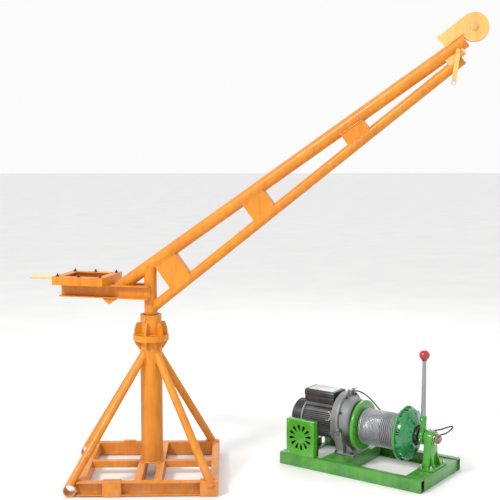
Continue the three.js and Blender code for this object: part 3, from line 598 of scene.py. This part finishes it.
def brace_top_bead(foot, radius=24.0):
    """Where the tube meets the column: a saddle loop on the column's surface."""
    reach = hypot(*foot)
    slope = (BRACE_TOP - BEAM_TOP) / (reach - COLUMN_RADIUS)
    ang = atan2(foot[1], foot[0])
    tilt = atan(slope)
    points = []
    for i in range(40):
        a = 2 * pi * i / 40
        side = radius * 1.04 * sin(a)
        phi = asin(side / 68)
        r = 68.0
        z = BRACE_TOP - (r * cos(phi) - COLUMN_RADIUS) * slope + radius * 1.04 * cos(a) / cos(tilt)
        points.append((r * cos(ang + phi), r * sin(ang + phi), z))
    return points


FEET = {"front_left": (-432, -388), "front_right": (355, -394), "rear_left": (-432, 388), "rear_right": (362, 392)}
bead("brace_foot_welds", "root", [brace_bead(FEET[k]) for k in ("front_right", "rear_right")], BASE, 3.2, True)
bead("brace_top_welds", "root", [brace_top_bead(f) for f in FEET.values()], BASE, 3.0, True)

flange_z = 833.0
bead("flange_welds", "root", [circle((0, 0, flange_z - 1.5), 68.5), circle((0, 0, 870.5), 66),
                              circle((0, 0, 869.5), 66.5)], BASE, 3.0, True)
rib_paths = []
for i in range(6):
    a = radians(-75 - 90 + 60 * i)
    c, s = cos(a), sin(a)
    for side in (-5.6, 5.6):
        ox, oy = -s * side, c * side
        for corners in (((66, 941), (66, 870), (100, 870)), ((68.5, 779), (68.5, 831.5), (99, 831.5))):
            rib_paths.append([(r * c + ox, r * s + oy, z) for r, z in corners])
bead("rib_welds", "root", rib_paths, BASE, 2.0)
Piece().lathe([(38.4, 985), (54.6, 985), (54.6, 988.6), (50, 989.4), (42, 991.5), (38.4, 991)], 64, axis="Z").make(
    "post_dust_seal", "root", "cable_rubber", RUBBER, BASE)
Piece().lathe([(63.9, 984), (65.4, 984.6), (65.4, 989.4), (63.9, 990.2)], 64, axis="Z").make(
    "housing_rim", "root", "orange_paint", ORANGE, BASE)
grease = Piece()
grease.hexbolt((0, -63.5, 962), (0, -1, 0), 8, 4)
grease.lathe([(0.2, 0), (2.6, 0), (2.2, 5), (3, 6.4), (2.6, 9), (0.2, 9.6)], 16, True,
             shift((0, -67, 962)) @ Matrix.Rotation(-pi / 2, 4, "Z"))
grease.make("housing_grease_nipple", "root", "bright_steel", ZINC, BASE @ Matrix.Rotation(radians(-32), 4, "Z"))

# ---------------------------------------------------------------- boom details

UP_SLOPE, LOW_SLOPE = 0.702, 0.8015
tilt_up, tilt_low = atan(UP_SLOPE), atan(LOW_SLOPE)


def upper_axis(s):
    return 1286 + UP_SLOPE * s


def lower_axis(s):
    return 1017 + LOW_SLOPE * s



boom_paths = []
mid = (tilt_up + tilt_low) / 2
for s in (146, 672, 1228):
    zc = (upper_axis(s) + lower_axis(s)) / 2
    for side in (-1, 1):
        for tube, slope, tilt, r in ((upper_axis, UP_SLOPE, tilt_up, 38), (lower_axis, LOW_SLOPE, tilt_low, 30)):
            sign = -1 if tube is upper_axis else 1
            offset = sqrt(max(r * r - 27 * 27, 0)) * sign
            line = []
            for d in (-75, 75):
                sx, zx = s + d * cos(mid), zc + d * sin(mid)
                # walk square to the boom until the tube's side is met
                nx, nz = -sin(mid), cos(mid)
                t = ((tube(sx) + offset / cos(tilt)) - zx) / (nz - slope * nx)
                line.append((sx + nx * t, side * 28.2, zx + nz * t))
            boom_paths.append(line)
bead("spacer_welds", "superstructure", boom_paths, BOOM, 2.8)
bead("post_welds", "superstructure", [
    [(39 * cos(a), 39 * sin(a), upper_axis(39 * cos(a)) - sqrt(max(38 ** 2 - (39 * sin(a)) ** 2, 0)) * 1.22)
     for a in (2 * pi * i / 44 for i in range(44))]], BOOM, 3.2, True)
bead("lower_tube_weld", "superstructure", [
    [(sqrt(max(39 ** 2 - (30.5 * sin(a)) ** 2, 0)), 30.5 * sin(a),
      lower_axis(sqrt(max(39 ** 2 - (30.5 * sin(a)) ** 2, 0))) + 30.5 * cos(a) / cos(tilt_low))
     for a in (2 * pi * i / 44 for i in range(44))]], BOOM, 3.0, True)
bead("platform_welds", "superstructure", [
    [(s, side * 40, 1090), (s, side * 40, 1162)] for s in (-37, 9) for side in (-1, 1)] + [
    [(s, side * 81, 1167), (s + 46, side * 81, 1167)] for s in (-568, -294) for side in (-1, 1)], BOOM, 3.0)
mitres = []
for cx, sx in ((-570, 1), (-245, -1)):
    for cy, sy in ((-155, 1), (155, -1)):
        mitres.append([(cx, cy, 1217), (cx + sx * 50, cy + sy * 50, 1217)])
bead("tray_mitre_welds", "superstructure", mitres, BOOM, 1.8)
bead("head_plate_welds", "superstructure", [
    [(x, side * 24, upper_axis(x) + 38 * 1.05) for x in (1745, 1812)] for side in (-1, 1)], BOOM, 2.6)

studs = Piece()
for s, y in ((-545, -128), (-545, 128), (-270, -128), (-270, 128), (-407, 128), (-407, -128)):
    studs.hexbolt((s, y, 1216.3), (0, 0, 1), 15, 8, 9)
    studs.lathe([(0.2, 1216), (4, 1216), (4, 1233), (3.2, 1234), (0.2, 1234)], 16, turn=shift((s, y, 0)), axis="Z")
studs.make("tray_studs", "superstructure", "dark_steel", DARK, BOOM)
ferrule = Piece()
ferrule.lathe([(15.2, -20), (18.5, -20), (19, -17), (19, 4), (15.2, 4)], 40, True,
              shift((-574, 0, 1193)))
ferrule.make("handle_ferrule", "superstructure", "dark_steel", DARK, BOOM)
plug = Piece().lathe([(0.3, -788.4), (13.6, -788.4), (14.6, -787.2), (14.6, -786),
                      (11.8, -785.8), (11.8, -770), (0.3, -770)], 40, True,
                     shift((0, 0, 1193)))
plug.make("handle_end_plug", "superstructure", "cable_rubber", RUBBER, BOOM)

pin = Piece()
for side in (-1, 1):
    pin.lathe([(0.3, 22.4), (20, 22.4), (20, 24.4), (17.2, 24.8), (17.2, 31), (15, 33), (0.3, 33)], 40, True,
              shift(HEAD_PIN) @ Matrix.Rotation(side * pi / 2, 4, "Z"))
    pin.sweep([(1846, side * 29, 2634), (1886, side * 29, 2637), (1891, side * 29, 2643)], 1.6, 8)
pin.make("pin_collars", "superstructure", "orange_paint", PALE, BOOM, 0.4)
guard = Piece()
for a in (205, 20):
    ca, sa = cos(radians(a)), sin(radians(a))
    x, z = 1866 + 70.5 * ca, 2634 + 70.5 * sa
    guard.sweep([(x, -16, z), (x, 16, z)], 3.6, 14)
guard.make("rope_guard_pins", "superstructure", "bright_steel", STEEL, BOOM)

lean = radians(7.5)
link_frame = BOOM @ shift((1786, 0, 2506)) @ Matrix.Rotation(lean, 4, "Y")
link_parts = Piece()
link_parts.hexbolt((0, -49.4, 0), (0, -1, 0), 17, 7, 11)
link_parts.make("link_bolt", "anchor_link", "orange_paint", PALE, link_frame)
eye = Piece()
eye.lathe([(9.2, -50.6), (12.2, -50.6), (12.8, -49.4), (12.8, -39.2), (12.2, -38.4), (9.2, -38.4)], 40, True,
          shift((0, 0, -172)), 360, "Y")
eye.make("link_eye_bush", "anchor_link", "bright_steel", ZINC, link_frame)

# ---------------------------------------------------------------- winch skid and box

dress(GREEN, "skid_rail_near", "skid_rail_far", "skid_end_left", "gearbox_bridge", "pedestal_bridge", bevel=1.2)
skid_welds = []
for x in (-489, -445, -205, -45, 370, 489):
    for side in (-1, 1):
        skid_welds.append([(x, side * 226.8, 4), (x, side * 226.8, 74)])
for x0, x1 in ((-205, -45), (370, 490)):
    for side in (-1, 1):
        skid_welds.append([(x0, side * 227, 75.6), (x1, side * 227, 75.6)])
bead("skid_welds", "root", skid_welds, WINCH, 2.6, False, GREEN)

box_left, box_right, face_y, box_z0, box_z1 = -440, -240, -272, 75.3, 299.3
shell = Piece()
shell.box(box_left, box_right, face_y, face_y + 3, box_z0, box_z1)
box_face = shell.make("control_box_face", "root", "green_paint", BRIGHT, WINCH, 0.9, ["control_box"])
slots = Piece()
cx, cz = (box_left + box_right) / 2, (box_z0 + box_z1) / 2 + 4
for i in range(12):
    a = radians(30 * i + 8)
    tip, wide, r = 38.0, 70.0, 9.5
    outline = []
    for u, v in [(tip, -1.6)] + arc((wide, 0), r, -100, 100, 12) + [(tip, 1.6)]:
        outline.append((cx + u * cos(a) - v * sin(a), cz + u * sin(a) + v * cos(a)))
    slots.prism(outline, face_y - 4, face_y + 8, along_y)
cut(box_face, slots, WINCH)
walls = Piece()
walls.box(box_left, box_left + 3, face_y + 3, face_y + 44, box_z0, box_z1)
walls.box(box_right - 3, box_right, face_y + 3, face_y + 44, box_z0, box_z1)
walls.box(box_left + 3, box_right - 3, face_y + 3, face_y + 44, box_z1 - 3, box_z1)
walls.box(box_left + 3, box_right - 3, face_y + 3, face_y + 44, box_z0, box_z0 + 3)
walls.make("control_box_walls", "root", "green_paint", BRIGHT, WINCH, 0.9)
Piece().box(box_left - 0.5, box_right + 4, face_y + 44.3, face_y + 52, box_z0 + 1, box_z1 - 4).make(
    "control_box_gasket", "root", "cable_rubber", RUBBER, WINCH, 1.0)
# near-black block inside the box, seen through the slots: painted shade for the box's dark interior
Piece().box(box_left + 4, box_right - 4, face_y + 20, face_y + 44, box_z0 + 4, box_z1 - 4).make(
    "control_box_inner_shade", "root", "black_plastic", INSIDE_SHADE, WINCH, 2.0)
screws = Piece()
for x in (box_left + 14, box_right - 22):
    for z in (box_z0 + 14, box_z1 - 16):
        screws.lathe([(0.2, 0), (5.2, 0), (5.0, 1.6), (3.4, 3), (1.4, 3), (1.2, 1.6), (0.2, 1.6)], 20, True,
                     shift((x, face_y, z)) @ Matrix.Rotation(-pi / 2, 4, "Z"))
screws.make("control_box_screws", "root", "bright_steel", ZINC, WINCH)

# ---------------------------------------------------------------- motor

body = Piece()
body.lathe([(30, -436), (100, -436), (100, -216), (30, -216)], 96)
for i in range(60):
    a = 6.0 * i
    if 38 < a < 142:
        continue
    tall = 16 if i % 5 else 18
    crest = 100 + tall
    fin = [(-434, 96), (-434, crest - 3), (-431, crest), (-222, crest), (-219, crest - 3), (-219, 96)]
    turn = about_x(a - 90)
    body.prism(fin, -1.7, 1.7, turned(turn))
body.make("motor_fins", "root", "cast_aluminium", MOTOR, AXLE, 0.5, ["motor_housing"])
shield = Piece()
shield.lathe([(20, -219), (112, -219), (121, -214), (124, -206), (136, -206), (136, -192.5), (20, -192.5)], 96)
shield.lathe([(60, -440), (113, -440), (116, -437), (116, -430), (113, -427), (60, -427)], 96)
for k in range(8):
    a = radians(45 * k + 22.5)
    shield.hexbolt((-206, 129 * cos(a), 129 * sin(a)), (-1, 0, 0), 10, 6, 7)
shield.make("motor_end_shields", "root", "cast_aluminium", CAST, AXLE, 0.8)
fan = Piece()
outline = [(40, -519), (84, -519.5), (96, -516), (104, -508)]
x = -508.0
for i in range(6):
    outline += [(107.5, x + 1), (107.5, x + 7.5), (104.5, x + 8.5), (104.5, x + 11)]
    x += 11
outline += [(108, -441), (100, -441), (100, -505), (84, -512), (40, -512)]
fan.lathe(outline, 96)
fan.lathe([(0.5, -516), (22, -519), (24, -514), (22, -510), (0.5, -510)], 40)
for radius in (52, 64, 76, 88):
    fan.lathe([(radius, -519.6), (radius + 4, -519.6), (radius + 4, -515), (radius, -515)], 72)
for k in range(8):
    fan.box(-519, -514, -3, 3, 20, 46, about_x(45 * k))
for k in range(4):
    a = radians(90 * k + 45)
    fan.hexbolt((-447, 107.8 * cos(a), 107.8 * sin(a)), (0, cos(a), sin(a)), 7, 3)
fan.make("motor_fan_cover", "root", "black_plastic", DARK, AXLE, 0.5)
saddle = Piece()
saddle.box(-425, -224, -70, 70, 92, 116)
saddle.make("terminal_box_saddle", "root", "cast_aluminium", MOTOR, AXLE, 3)


def rounded(half, z0, z1, r, r_top):
    return ([(-half, z0), (half, z0)] + arc((half - r_top, z1 - r_top), r_top, 0, 90, 6)
            + arc((-half + r_top, z1 - r_top), r_top, 90, 180, 6))


tray = Piece()
tray.prism(rounded(74, 115.5, 156, 2, 2), -430, -218, along_x)
tray.make("terminal_box_tray", "root", "black_plastic", BLACK, AXLE, 1.5, ["capacitor_box"])
lid = Piece()
lid.prism(rounded(76, 157.5, 196.2, 2, 17), -432, -217, along_x)
for x in (-418, -232):
    for side in (-1, 1):
        lid.lathe([(0.2, 0), (8, 0), (8, 12), (6, 14), (0.2, 14)], 20, True,
                  shift((x, side * 68, 160)), 360, "Z")
for k in range(9):
    lid.box(-431.9, -428, -58 + 14 * k, -54 + 14 * k, 160, 190)
lid.make("terminal_box_lid", "root", "black_plastic", BLACK, AXLE, 2.2)
label = Piece()
label.box(-416, -236, -58, 56, 195.9, 197.0)
label.make("terminal_box_blank_label", "root", "black_plastic", LABEL, AXLE, 0.4)
lid_screws = Piece()
for x in (-418, -232):
    for side in (-1, 1):
        lid_screws.socket_screw((x, side * 68, 173.5), (0, 0, 1), 4.5, 4)
lid_screws.make("terminal_box_screws", "root", "bright_steel", ZINC, AXLE)
earth = Piece()
earth.hexbolt((-226, -104, 34), (0, -1, 0.2), 10, 6, 8)
earth.make("earth_screw", "root", "bright_steel", ZINC, AXLE)
tie = Piece()
tie.sweep([(-222, -107, 28), (-218, -112, 42), (-214, -111, 58), (-222, -108, 70), (-238, -105, 82)], 1.6, 10)
tie.sweep([(-226, -110, 30), (-240, -112, 22), (-252, -111, 26)], 2.2, 10)
tie.make("earth_tie", "root", "black_plastic", NYLON, AXLE)

# ---------------------------------------------------------------- gearbox

LIFT = 40                        # the case stands above the drum's axis
CASE = shift((0, 0, LIFT))
case = Piece()
case.lathe([(0.3, -192), (152, -192), (155, -189), (155, -160), (160.5, -158), (160.5, -141), (158, -139.5),
            (146, -139.5), (141, -137), (136, -126), (128, -100), (122, -86), (112, -78), (84, -76), (0.3, -76)], 112, True, CASE)
for k in range(8):
    a = radians(45 * k + 22.5)
    case.lathe([(0.5, -160), (12, -160), (12, -137), (10.5, -135.5), (0.5, -135.5)], 24, True,
               CASE @ shift((0, 149 * cos(a), 149 * sin(a))))
for k in range(6):
    turn = CASE @ about_x(60 * k + 30)
    web = [(-137, 100), (-137, 134), (-100, 124), (-84, 110), (-76, 92), (-76, 78)]
    case.prism(web, -3, 3, turned(turn))
case.make("gearbox_case", "root", "cast_aluminium", CAST, AXLE, 1.0, ["gear_housing"])
nose = Piece()
nose.lathe([(22, -76.2), (82, -76.2), (78, -73.5), (74, -70), (72, -63), (64, -62.2), (22, -62.2)], 96)
nose.make("gearbox_nose", "root", "cast_aluminium", CAST, AXLE, 0.8)
foot = Piece()
outline = [(-112, -179.2), (112, -179.2), (112, -168), (104, -164), (104, -130), (122, -80), (140, -10), (-140, -10),
           (-122, -80), (-104, -130), (-104, -164), (-112, -168)]
foot.prism(outline, -184, -128, along_x)
foot.box(-190, -50, -112, 112, -179.4, -167.5)
for side in (-1, 1):
    foot.prism([(-128, -168), (-128, -112), (-60, -168)], side * 70 - 4, side * 70 + 4, along_y)
foot.make("gearbox_foot", "root", "cast_aluminium", CAST, AXLE, 4.0)
case_bolts = Piece()
for k in range(8):
    a = radians(45 * k + 22.5)
    case_bolts.hexbolt((-135.5, 149 * cos(a), 149 * sin(a) + LIFT), (1, 0, 0), 15, 9)
for side in (-1, 1):
    case_bolts.hexbolt((-72, side * 92, -167.5), (0, 0, 1), 17, 9, 12)
    case_bolts.hexbolt((-178, side * 106, -167.5), (0, 0, 1), 12, 9, 9)
case_bolts.make("gearbox_bolts", "root", "dark_steel", DARK, AXLE, 0.4)
eye_lug = Piece()
for y in (-14, 34):
    lug = [(-150, 186)] + [(-150, 212)] + arc((-138, 212), 12, 180, 0, 10) + [(-126, 186)]
    eye_lug.prism([(u, v - 6) for u, v in lug], y - 5, y + 5, along_y)
eye_lug.make("gearbox_lifting_lugs", "root", "cast_aluminium", CAST, AXLE, 1.2)
lift_pin = Piece()
lift_pin.sweep([(-138, -26, 208), (-138, 48, 208)], 4.2, 16)
lift_pin.sweep([(-138, -24, 208), (-138, -32, 216), (-136, -34, 226)], 3.0, 12)
lift_pin.sweep([(-138, 46, 208), (-134, 56, 213), (-126, 64, 219)], 4.2, 12)
lift_pin.make("gearbox_lifting_pins", "root", "bright_steel", ZINC, AXLE)

# ---------------------------------------------------------------- drum and rope

drum = Piece()
drum.lathe([(22, -54), (34, -55.5), (74, -53), (92, -50.5), (132, -51), (140, -53.5)]
           + [(146, -55.8), (152, -55.6), (157, -53), (159.6, -48.5), (160, -43), (159.2, -37), (156, -32.5)]
           + [(151, -30.2), (140, -31), (90, -30.5), (80, -29), (80, 232), (150, 233), (152, 235), (152, 242.5)]
           + [(72, 242.8), (72, -38), (22, -38)], 128)
drum.make("drum_body", "drum", "green_paint", BRIGHT, AXLE, 0.6, ["rope_drum"])


def coil(x0, x1, radius, pitch, steps=56, start=0.0):
    turns = (x1 - x0) / pitch
    count = int(turns * steps)
    return [(x0 + (x1 - x0) * i / count, radius * cos(start + 2 * pi * turns * i / count),
             radius * sin(start + 2 * pi * turns * i / count)) for i in range(count + 1)]


rope = Piece()
rope.sweep(coil(-24.6, 227.6, 98.2, 9.35, 56), 4.6, 8, uv=(0.09, 1.0))
rope.make("rope_under_layer", "drum", "rope_steel", ROPE, AXLE, 0, ["rope_winding"])
rope2 = Piece()
angle, path = 0.0, []
x = -24.4
while x < 226.8:
    path.append((x, 107.2 * cos(angle), 107.2 * sin(angle)))
    pitch = 9.32 if x < 122 else (13.4 if x < 180 else 10.8)
    angle += 2 * pi / 60
    x += pitch / 60
rope2.sweep(path, 4.65, 10, uv=(0.09, 1.0))
rope2.make("rope_top_layer", "drum", "rope_steel", ROPE, AXLE)
# inner rope layers coloured near-black: painted shade deep between the turns of the rope
core = Piece().lathe([(80.4, -28.8), (93.4, -28.8), (93.4, 231.5), (80.4, 231.5)], 96)
core.make("rope_inner_layers_shade", "drum", "rope_steel", DARK, AXLE)
clamp = Piece()
clamp.box(228, 232.8, -14, 14, 113, 138, about_x(200))
clamp.hexbolt((228, 0, -126), (-1, 0, 0), 9, 4)
clamp.make("rope_end_clamp", "drum", "bright_steel", ZINC, AXLE, 0.5)

# ---------------------------------------------------------------- clutch cover

cover = Piece()
cover.lathe([(92, 243.6), (166, 243.6), (168, 245.5), (168, 255), (166, 257), (156, 257.5), (154, 260), (153.5, 283),
             (150, 291), (142, 296.5), (126, 299), (122, 301), (118, 306), (104, 313), (100, 314), (98, 317), (80, 325),
             (76, 329.5), (62, 330), (61, 328), (61, 316), (74, 314), (96, 303), (116, 291), (134, 288), (143, 280),
             (144, 258), (92, 256)], 144)
cover_obj = cover.make("clutch_cover_shell", "drum", "emerald_paint", EMERALD, AXLE, 0.8, ["clutch_cover"])
windows = Piece()
for k in range(6):
    turn = about_x(60 * k + 14)
    windows.box(262, 283, -17, 17, 136, 175, turn)
for k in range(18):
    turn = about_x(20 * k + 5) @ shift((318, 0, 86)) @ Matrix.Rotation(radians(-22), 4, "Y")
    windows.box(-14, 14, -1.5, 1.5, -11, 11, turn)
cut(cover_obj, windows, AXLE)
ribs = Piece()
for k in range(6):
    base_angle = 60 * k + 44
    turn = about_x(base_angle)
    ribs.prism([(256, 150), (256, 163), (270, 161), (290, 153), (297, 143), (296, 136), (280, 140)], -13, 13,
               turned(turn))
    ribs.prism([(290, 112), (300, 136), (304, 128), (315, 106), (318, 98), (308, 98)], -3.5, 3.5,
               turned(turn))
for k in range(6):
    turn = about_x(60 * k + 14)
    for y0, y1 in ((-22, -17), (17, 22)):
        ribs.prism([(257, 150), (257, 159), (286, 157), (290, 150)], y0, y1, turned(turn))
    ribs.prism([(285, 146), (285, 157), (290, 155), (293, 146)], -20, 20, turned(turn))
ribs.make("clutch_cover_lugs", "drum", "emerald_paint", EMERALD, AXLE, 1.4)
Piece().lathe([(166.5, 246.5), (168.4, 247), (168.4, 253.5), (166.5, 254)], 144).make(
    "clutch_cover_rim", "drum", "emerald_paint", BRIGHT, AXLE)
Piece().lathe([(100, 258), (136, 258), (136, 284), (112, 286), (100, 286)], 96).make(
    "clutch_pressure_plate", "drum", "dark_steel", DARK, AXLE, 0.6)
springs = Piece()
for k in range(6):
    turn = about_x(60 * k + 14)
    for dy in (-7.5, 7.5):
        points = [turn @ Vector((261.5 + 24 * t / 90.0, dy + 5.2 * cos(2 * pi * t / 15),
                                 144 + 5.2 * sin(2 * pi * t / 15))) for t in range(91)]
        springs.sweep(points, 1.1, 8)
springs.make("clutch_springs", "drum", "bright_steel", ZINC, AXLE)
bolts = Piece()
for k in range(6):
    a = radians(60 * k + 44)
    bolts.hexbolt((262, 161 * cos(a), 161 * sin(a)), (1, 0, 0), 0.5, 0.5)
    for off in (-9.5, 9.5):
        b = radians(60 * k + 44 + off + 90)
        bolts.hexbolt((257, 161.2 * cos(b), 161.2 * sin(b)), (1, 0, 0), 9, 6, 5.6)
bolts.make("clutch_cover_bolts", "drum", "dark_steel", DARK, AXLE, 0.3)

# ---------------------------------------------------------------- shaft, sleeve, lever

sleeve = Piece()
sleeve.lathe([(19.6, 316.4), (48, 316.4), (52, 319), (54, 322), (54, 331), (52.5, 333), (52.5, 337), (54, 339),
              (54, 344), (52.5, 346), (44, 346), (42, 343), (30, 343), (28, 345.6), (19.6, 345.6)], 96)
sleeve.make("sleeve_ring", "sleeve", "dark_steel", DARK, AXLE, 0.4, ["clutch_sleeve"])

hub = Piece()
hub.lathe([(19.5, 353.2), (41, 353.2), (44, 356), (44, 379), (42, 381.8), (19.5, 381.8)], 96)
for k in range(3):
    turn = about_x(120 * k + 60)
    hub.prism([(356, 40), (356, 46), (359, 48), (376, 48), (379, 46), (379, 40)], -9, 9, turned(turn))
hub.prism([(-22, 34), (-19, 70), (-17, 96), (17, 96), (19, 70), (22, 34)], 355, 379, along_x)
hub.lathe([(14.6, 92), (19.5, 92), (20.5, 95), (20.5, 122), (18, 126), (14.6, 126)], 48, turn=shift((LEVER_X, 0, 0)), axis="Z")
hub.make("lever_hub", "lever", "green_paint", BRIGHT, AXLE, 1.0, ["clutch_lever"])
rod = Piece()
rod.lathe([(0.3, 90), (14.5, 90), (14.5, 128), (13.6, 260), (12.4, 400), (11.8, 472), (0.3, 472)], 48, True,
          shift((LEVER_X, 0, 0)), 360, "Z")
rod.make("lever_rod", "lever", "bright_steel", LEVER_STEEL, AXLE)
lever_bolt = Piece()
lever_bolt.hexbolt((366, -18, 108), (0, -1, 0), 10, 5, 7)
lever_bolt.hexbolt((366, -44, -12), (0, -1, -0.3), 9, 5)
lever_bolt.make("lever_clamp_bolts", "lever", "bright_steel", ZINC, AXLE, 0.3)
ball = Piece()
profile = [(14.5, 462), (16.5, 466)] + [(32 * cos(radians(t)), 497 + 31.5 * sin(radians(t)))
                                        for t in range(-52, 90, 6)] + [(0.4, 528.6)]
ball.lathe([(0.3, 462)] + profile, 64, turn=shift((LEVER_X, 0, 0)), axis="Z")
ball.make("lever_ball", "lever", "red_plastic", RED, AXLE, 0, ["lever_knob"])

dress(RUSTY, "drum_shaft")
thread = Piece()
turns = [(454 + 26 * i / 240, 19.15 * cos(2 * pi * i / 24), 19.15 * sin(2 * pi * i / 24)) for i in range(241)]
thread.sweep(turns, 0.9, 6)
thread.make("shaft_thread", "output_shaft", "bright_steel", RUSTY, AXLE)
washer = Piece().lathe([(19.2, 449.2), (36, 449.2), (36, 453), (19.2, 453)], 48)
washer.make("shaft_washer", "output_shaft", "bright_steel", ZINC, AXLE, 0.4)
cotter = Piece()
cotter.sweep([(476, -26, 0), (476, 24, 0), (478, 30, 5)], 1.9, 10)
cotter.sweep([(476, -24, 3), (476, 24, 3), (474, 31, -4)], 1.9, 10)
cotter.make("shaft_cotter", "output_shaft", "bright_steel", ZINC, AXLE)

# ---------------------------------------------------------------- pedestal

post = Piece()
side_outline = ([(-70, -168), (70, -168)] + [(58, -120), (50, -60), (47, -12)] + arc((0, 0), 47, 0, 180, 20)
                + [(-50, -60), (-58, -120)])
post.prism(side_outline, 395, 439, along_x)
post.lathe([(19.6, 386.5), (42, 386.5), (46, 390), (46, 444), (43, 447.8), (19.6, 447.8)], 72)
post.box(380, 478, -100, 100, -179.6, -167.6)
for side in (-1, 1):
    post.prism([(439, -167), (470, -167), (439, -90)], side * 40 - 4, side * 40 + 4, along_y)
post.make("pedestal_body", "root", "green_paint", BRIGHT, AXLE, 1.6, ["bearing_pedestal"])
nuts = Piece()
for x in (398, 462):
    for y in (-86, 86):
        nuts.hexbolt((x, y, -167.6), (0, 0, 1), 17, 9, 12)
        nuts.lathe([(0.3, -160), (5, -160), (5, -147), (4, -146), (0.3, -146)], 20, turn=shift((x, y, 0)), axis="Z")
nuts.make("pedestal_nuts", "root", "bright_steel", ZINC, AXLE, 0.3)
nipple = Piece()
nipple.hexbolt((414, 0, 45.5), (0, 0, 1), 9, 5)
nipple.lathe([(0.2, 50), (3, 50), (2.4, 56), (3.4, 58), (2.8, 61), (0.2, 62)], 16, turn=shift((414, 0, 0)), axis="Z")
nipple.make("pedestal_grease_nipple", "root", "bright_steel", ZINC, AXLE)
bead("pedestal_welds", "root", [[(x, -70, -167), (x, 70, -167)] for x in (395, 439)], AXLE, 2.8, False, GREEN)

# ---------------------------------------------------------------- power cable

ROUTE = [(-250, 76.5, 408), (-250, 86, 408), (-240, 108, 412), (-212, 140, 420), (-170, 158, 422), (-120, 168, 402),
         (-70, 178, 360), (-20, 186, 310), (60, 192, 262), (150, 196, 232), (240, 198, 226), (320, 196, 236),
         (390, 190, 256), (448, 176, 284), (492, 142, 304), (504, 104, 300), (482, 82, 276), (446, 80, 258),
         (424, 68, 248), (417, 58, 247), (417, 49.5, 247)]


def spline(points, steps=8):
    """Catmull-Rom curve through the points."""
    out = []
    p = [Vector(q) for q in points]
    p = [p[0] * 2 - p[1]] + p + [p[-1] * 2 - p[-2]]
    for i in range(1, len(p) - 2):
        for k in range(steps):
            t = k / steps
            a, b, c, d = p[i - 1:i + 3]
            out.append(0.5 * ((2 * b) + (c - a) * t + (2 * a - 5 * b + 4 * c - d) * t * t
                              + (3 * b - a - 3 * c + d) * t ** 3))
    return out + [Vector(points[-1])]


cable = Piece().sweep(spline(ROUTE), 4.5, 14)
cable.make("cable_run", "root", "cable_rubber", RUBBER, WINCH, 0, ["power_cable"])
gland = Piece()
gland.hexbolt((-250, 76, 408), (0, 1, 0), 17, 8, 0)
gland.lathe([(4.7, 84), (8, 84), (6.6, 94), (5.2, 99), (4.7, 99)], 24, turn=shift((-249, 0, 409)), axis="Y")
gland.hexbolt((417, 45.5, 247), (0, 1, 0), 15, 5, 9)
gland.make("cable_glands", "root", "cable_rubber", BLACK, WINCH, 0.5)
clips = Piece()
for x, y, z in ((-120, 168, 402), (-20, 186, 310)):
    clips.lathe([(4.6, -3), (7, -3), (7, 3), (4.6, 3)], 24, True, shift((x, y, z)) @ Matrix.Rotation(0.7, 4, "Z"))
clips.make("cable_clips", "root", "bright_steel", ZINC, WINCH)

# ---------------------------------------------------------------- floor

floor_material = Nodes("pale_floor")
cloud = floor_material.ramp(floor_material.noise(1.6, 5), 0.3, 0.7)
shade = floor_material.mix(cloud, (0.82, 0.82, 0.82), (0.86, 0.86, 0.855))
floor_material.link(shade, floor_material.shader.inputs["Base Color"])
floor_material.set(Roughness=0.75)
floor_material.bump((floor_material.noise(220, 3), 0.02, 0.0005))
floor = bmesh.new()
bmesh.ops.create_grid(floor, x_segments=24, y_segments=24, size=60)
floor_data = bpy.data.meshes.new("floor")
floor.to_mesh(floor_data)
floor.free()
floor_object = bpy.data.objects.new("floor", floor_data)
floor_object.location = (0, 0, -0.0006)
floor_data.materials.append(floor_material.material)
bpy.context.scene.collection.objects.link(floor_object)
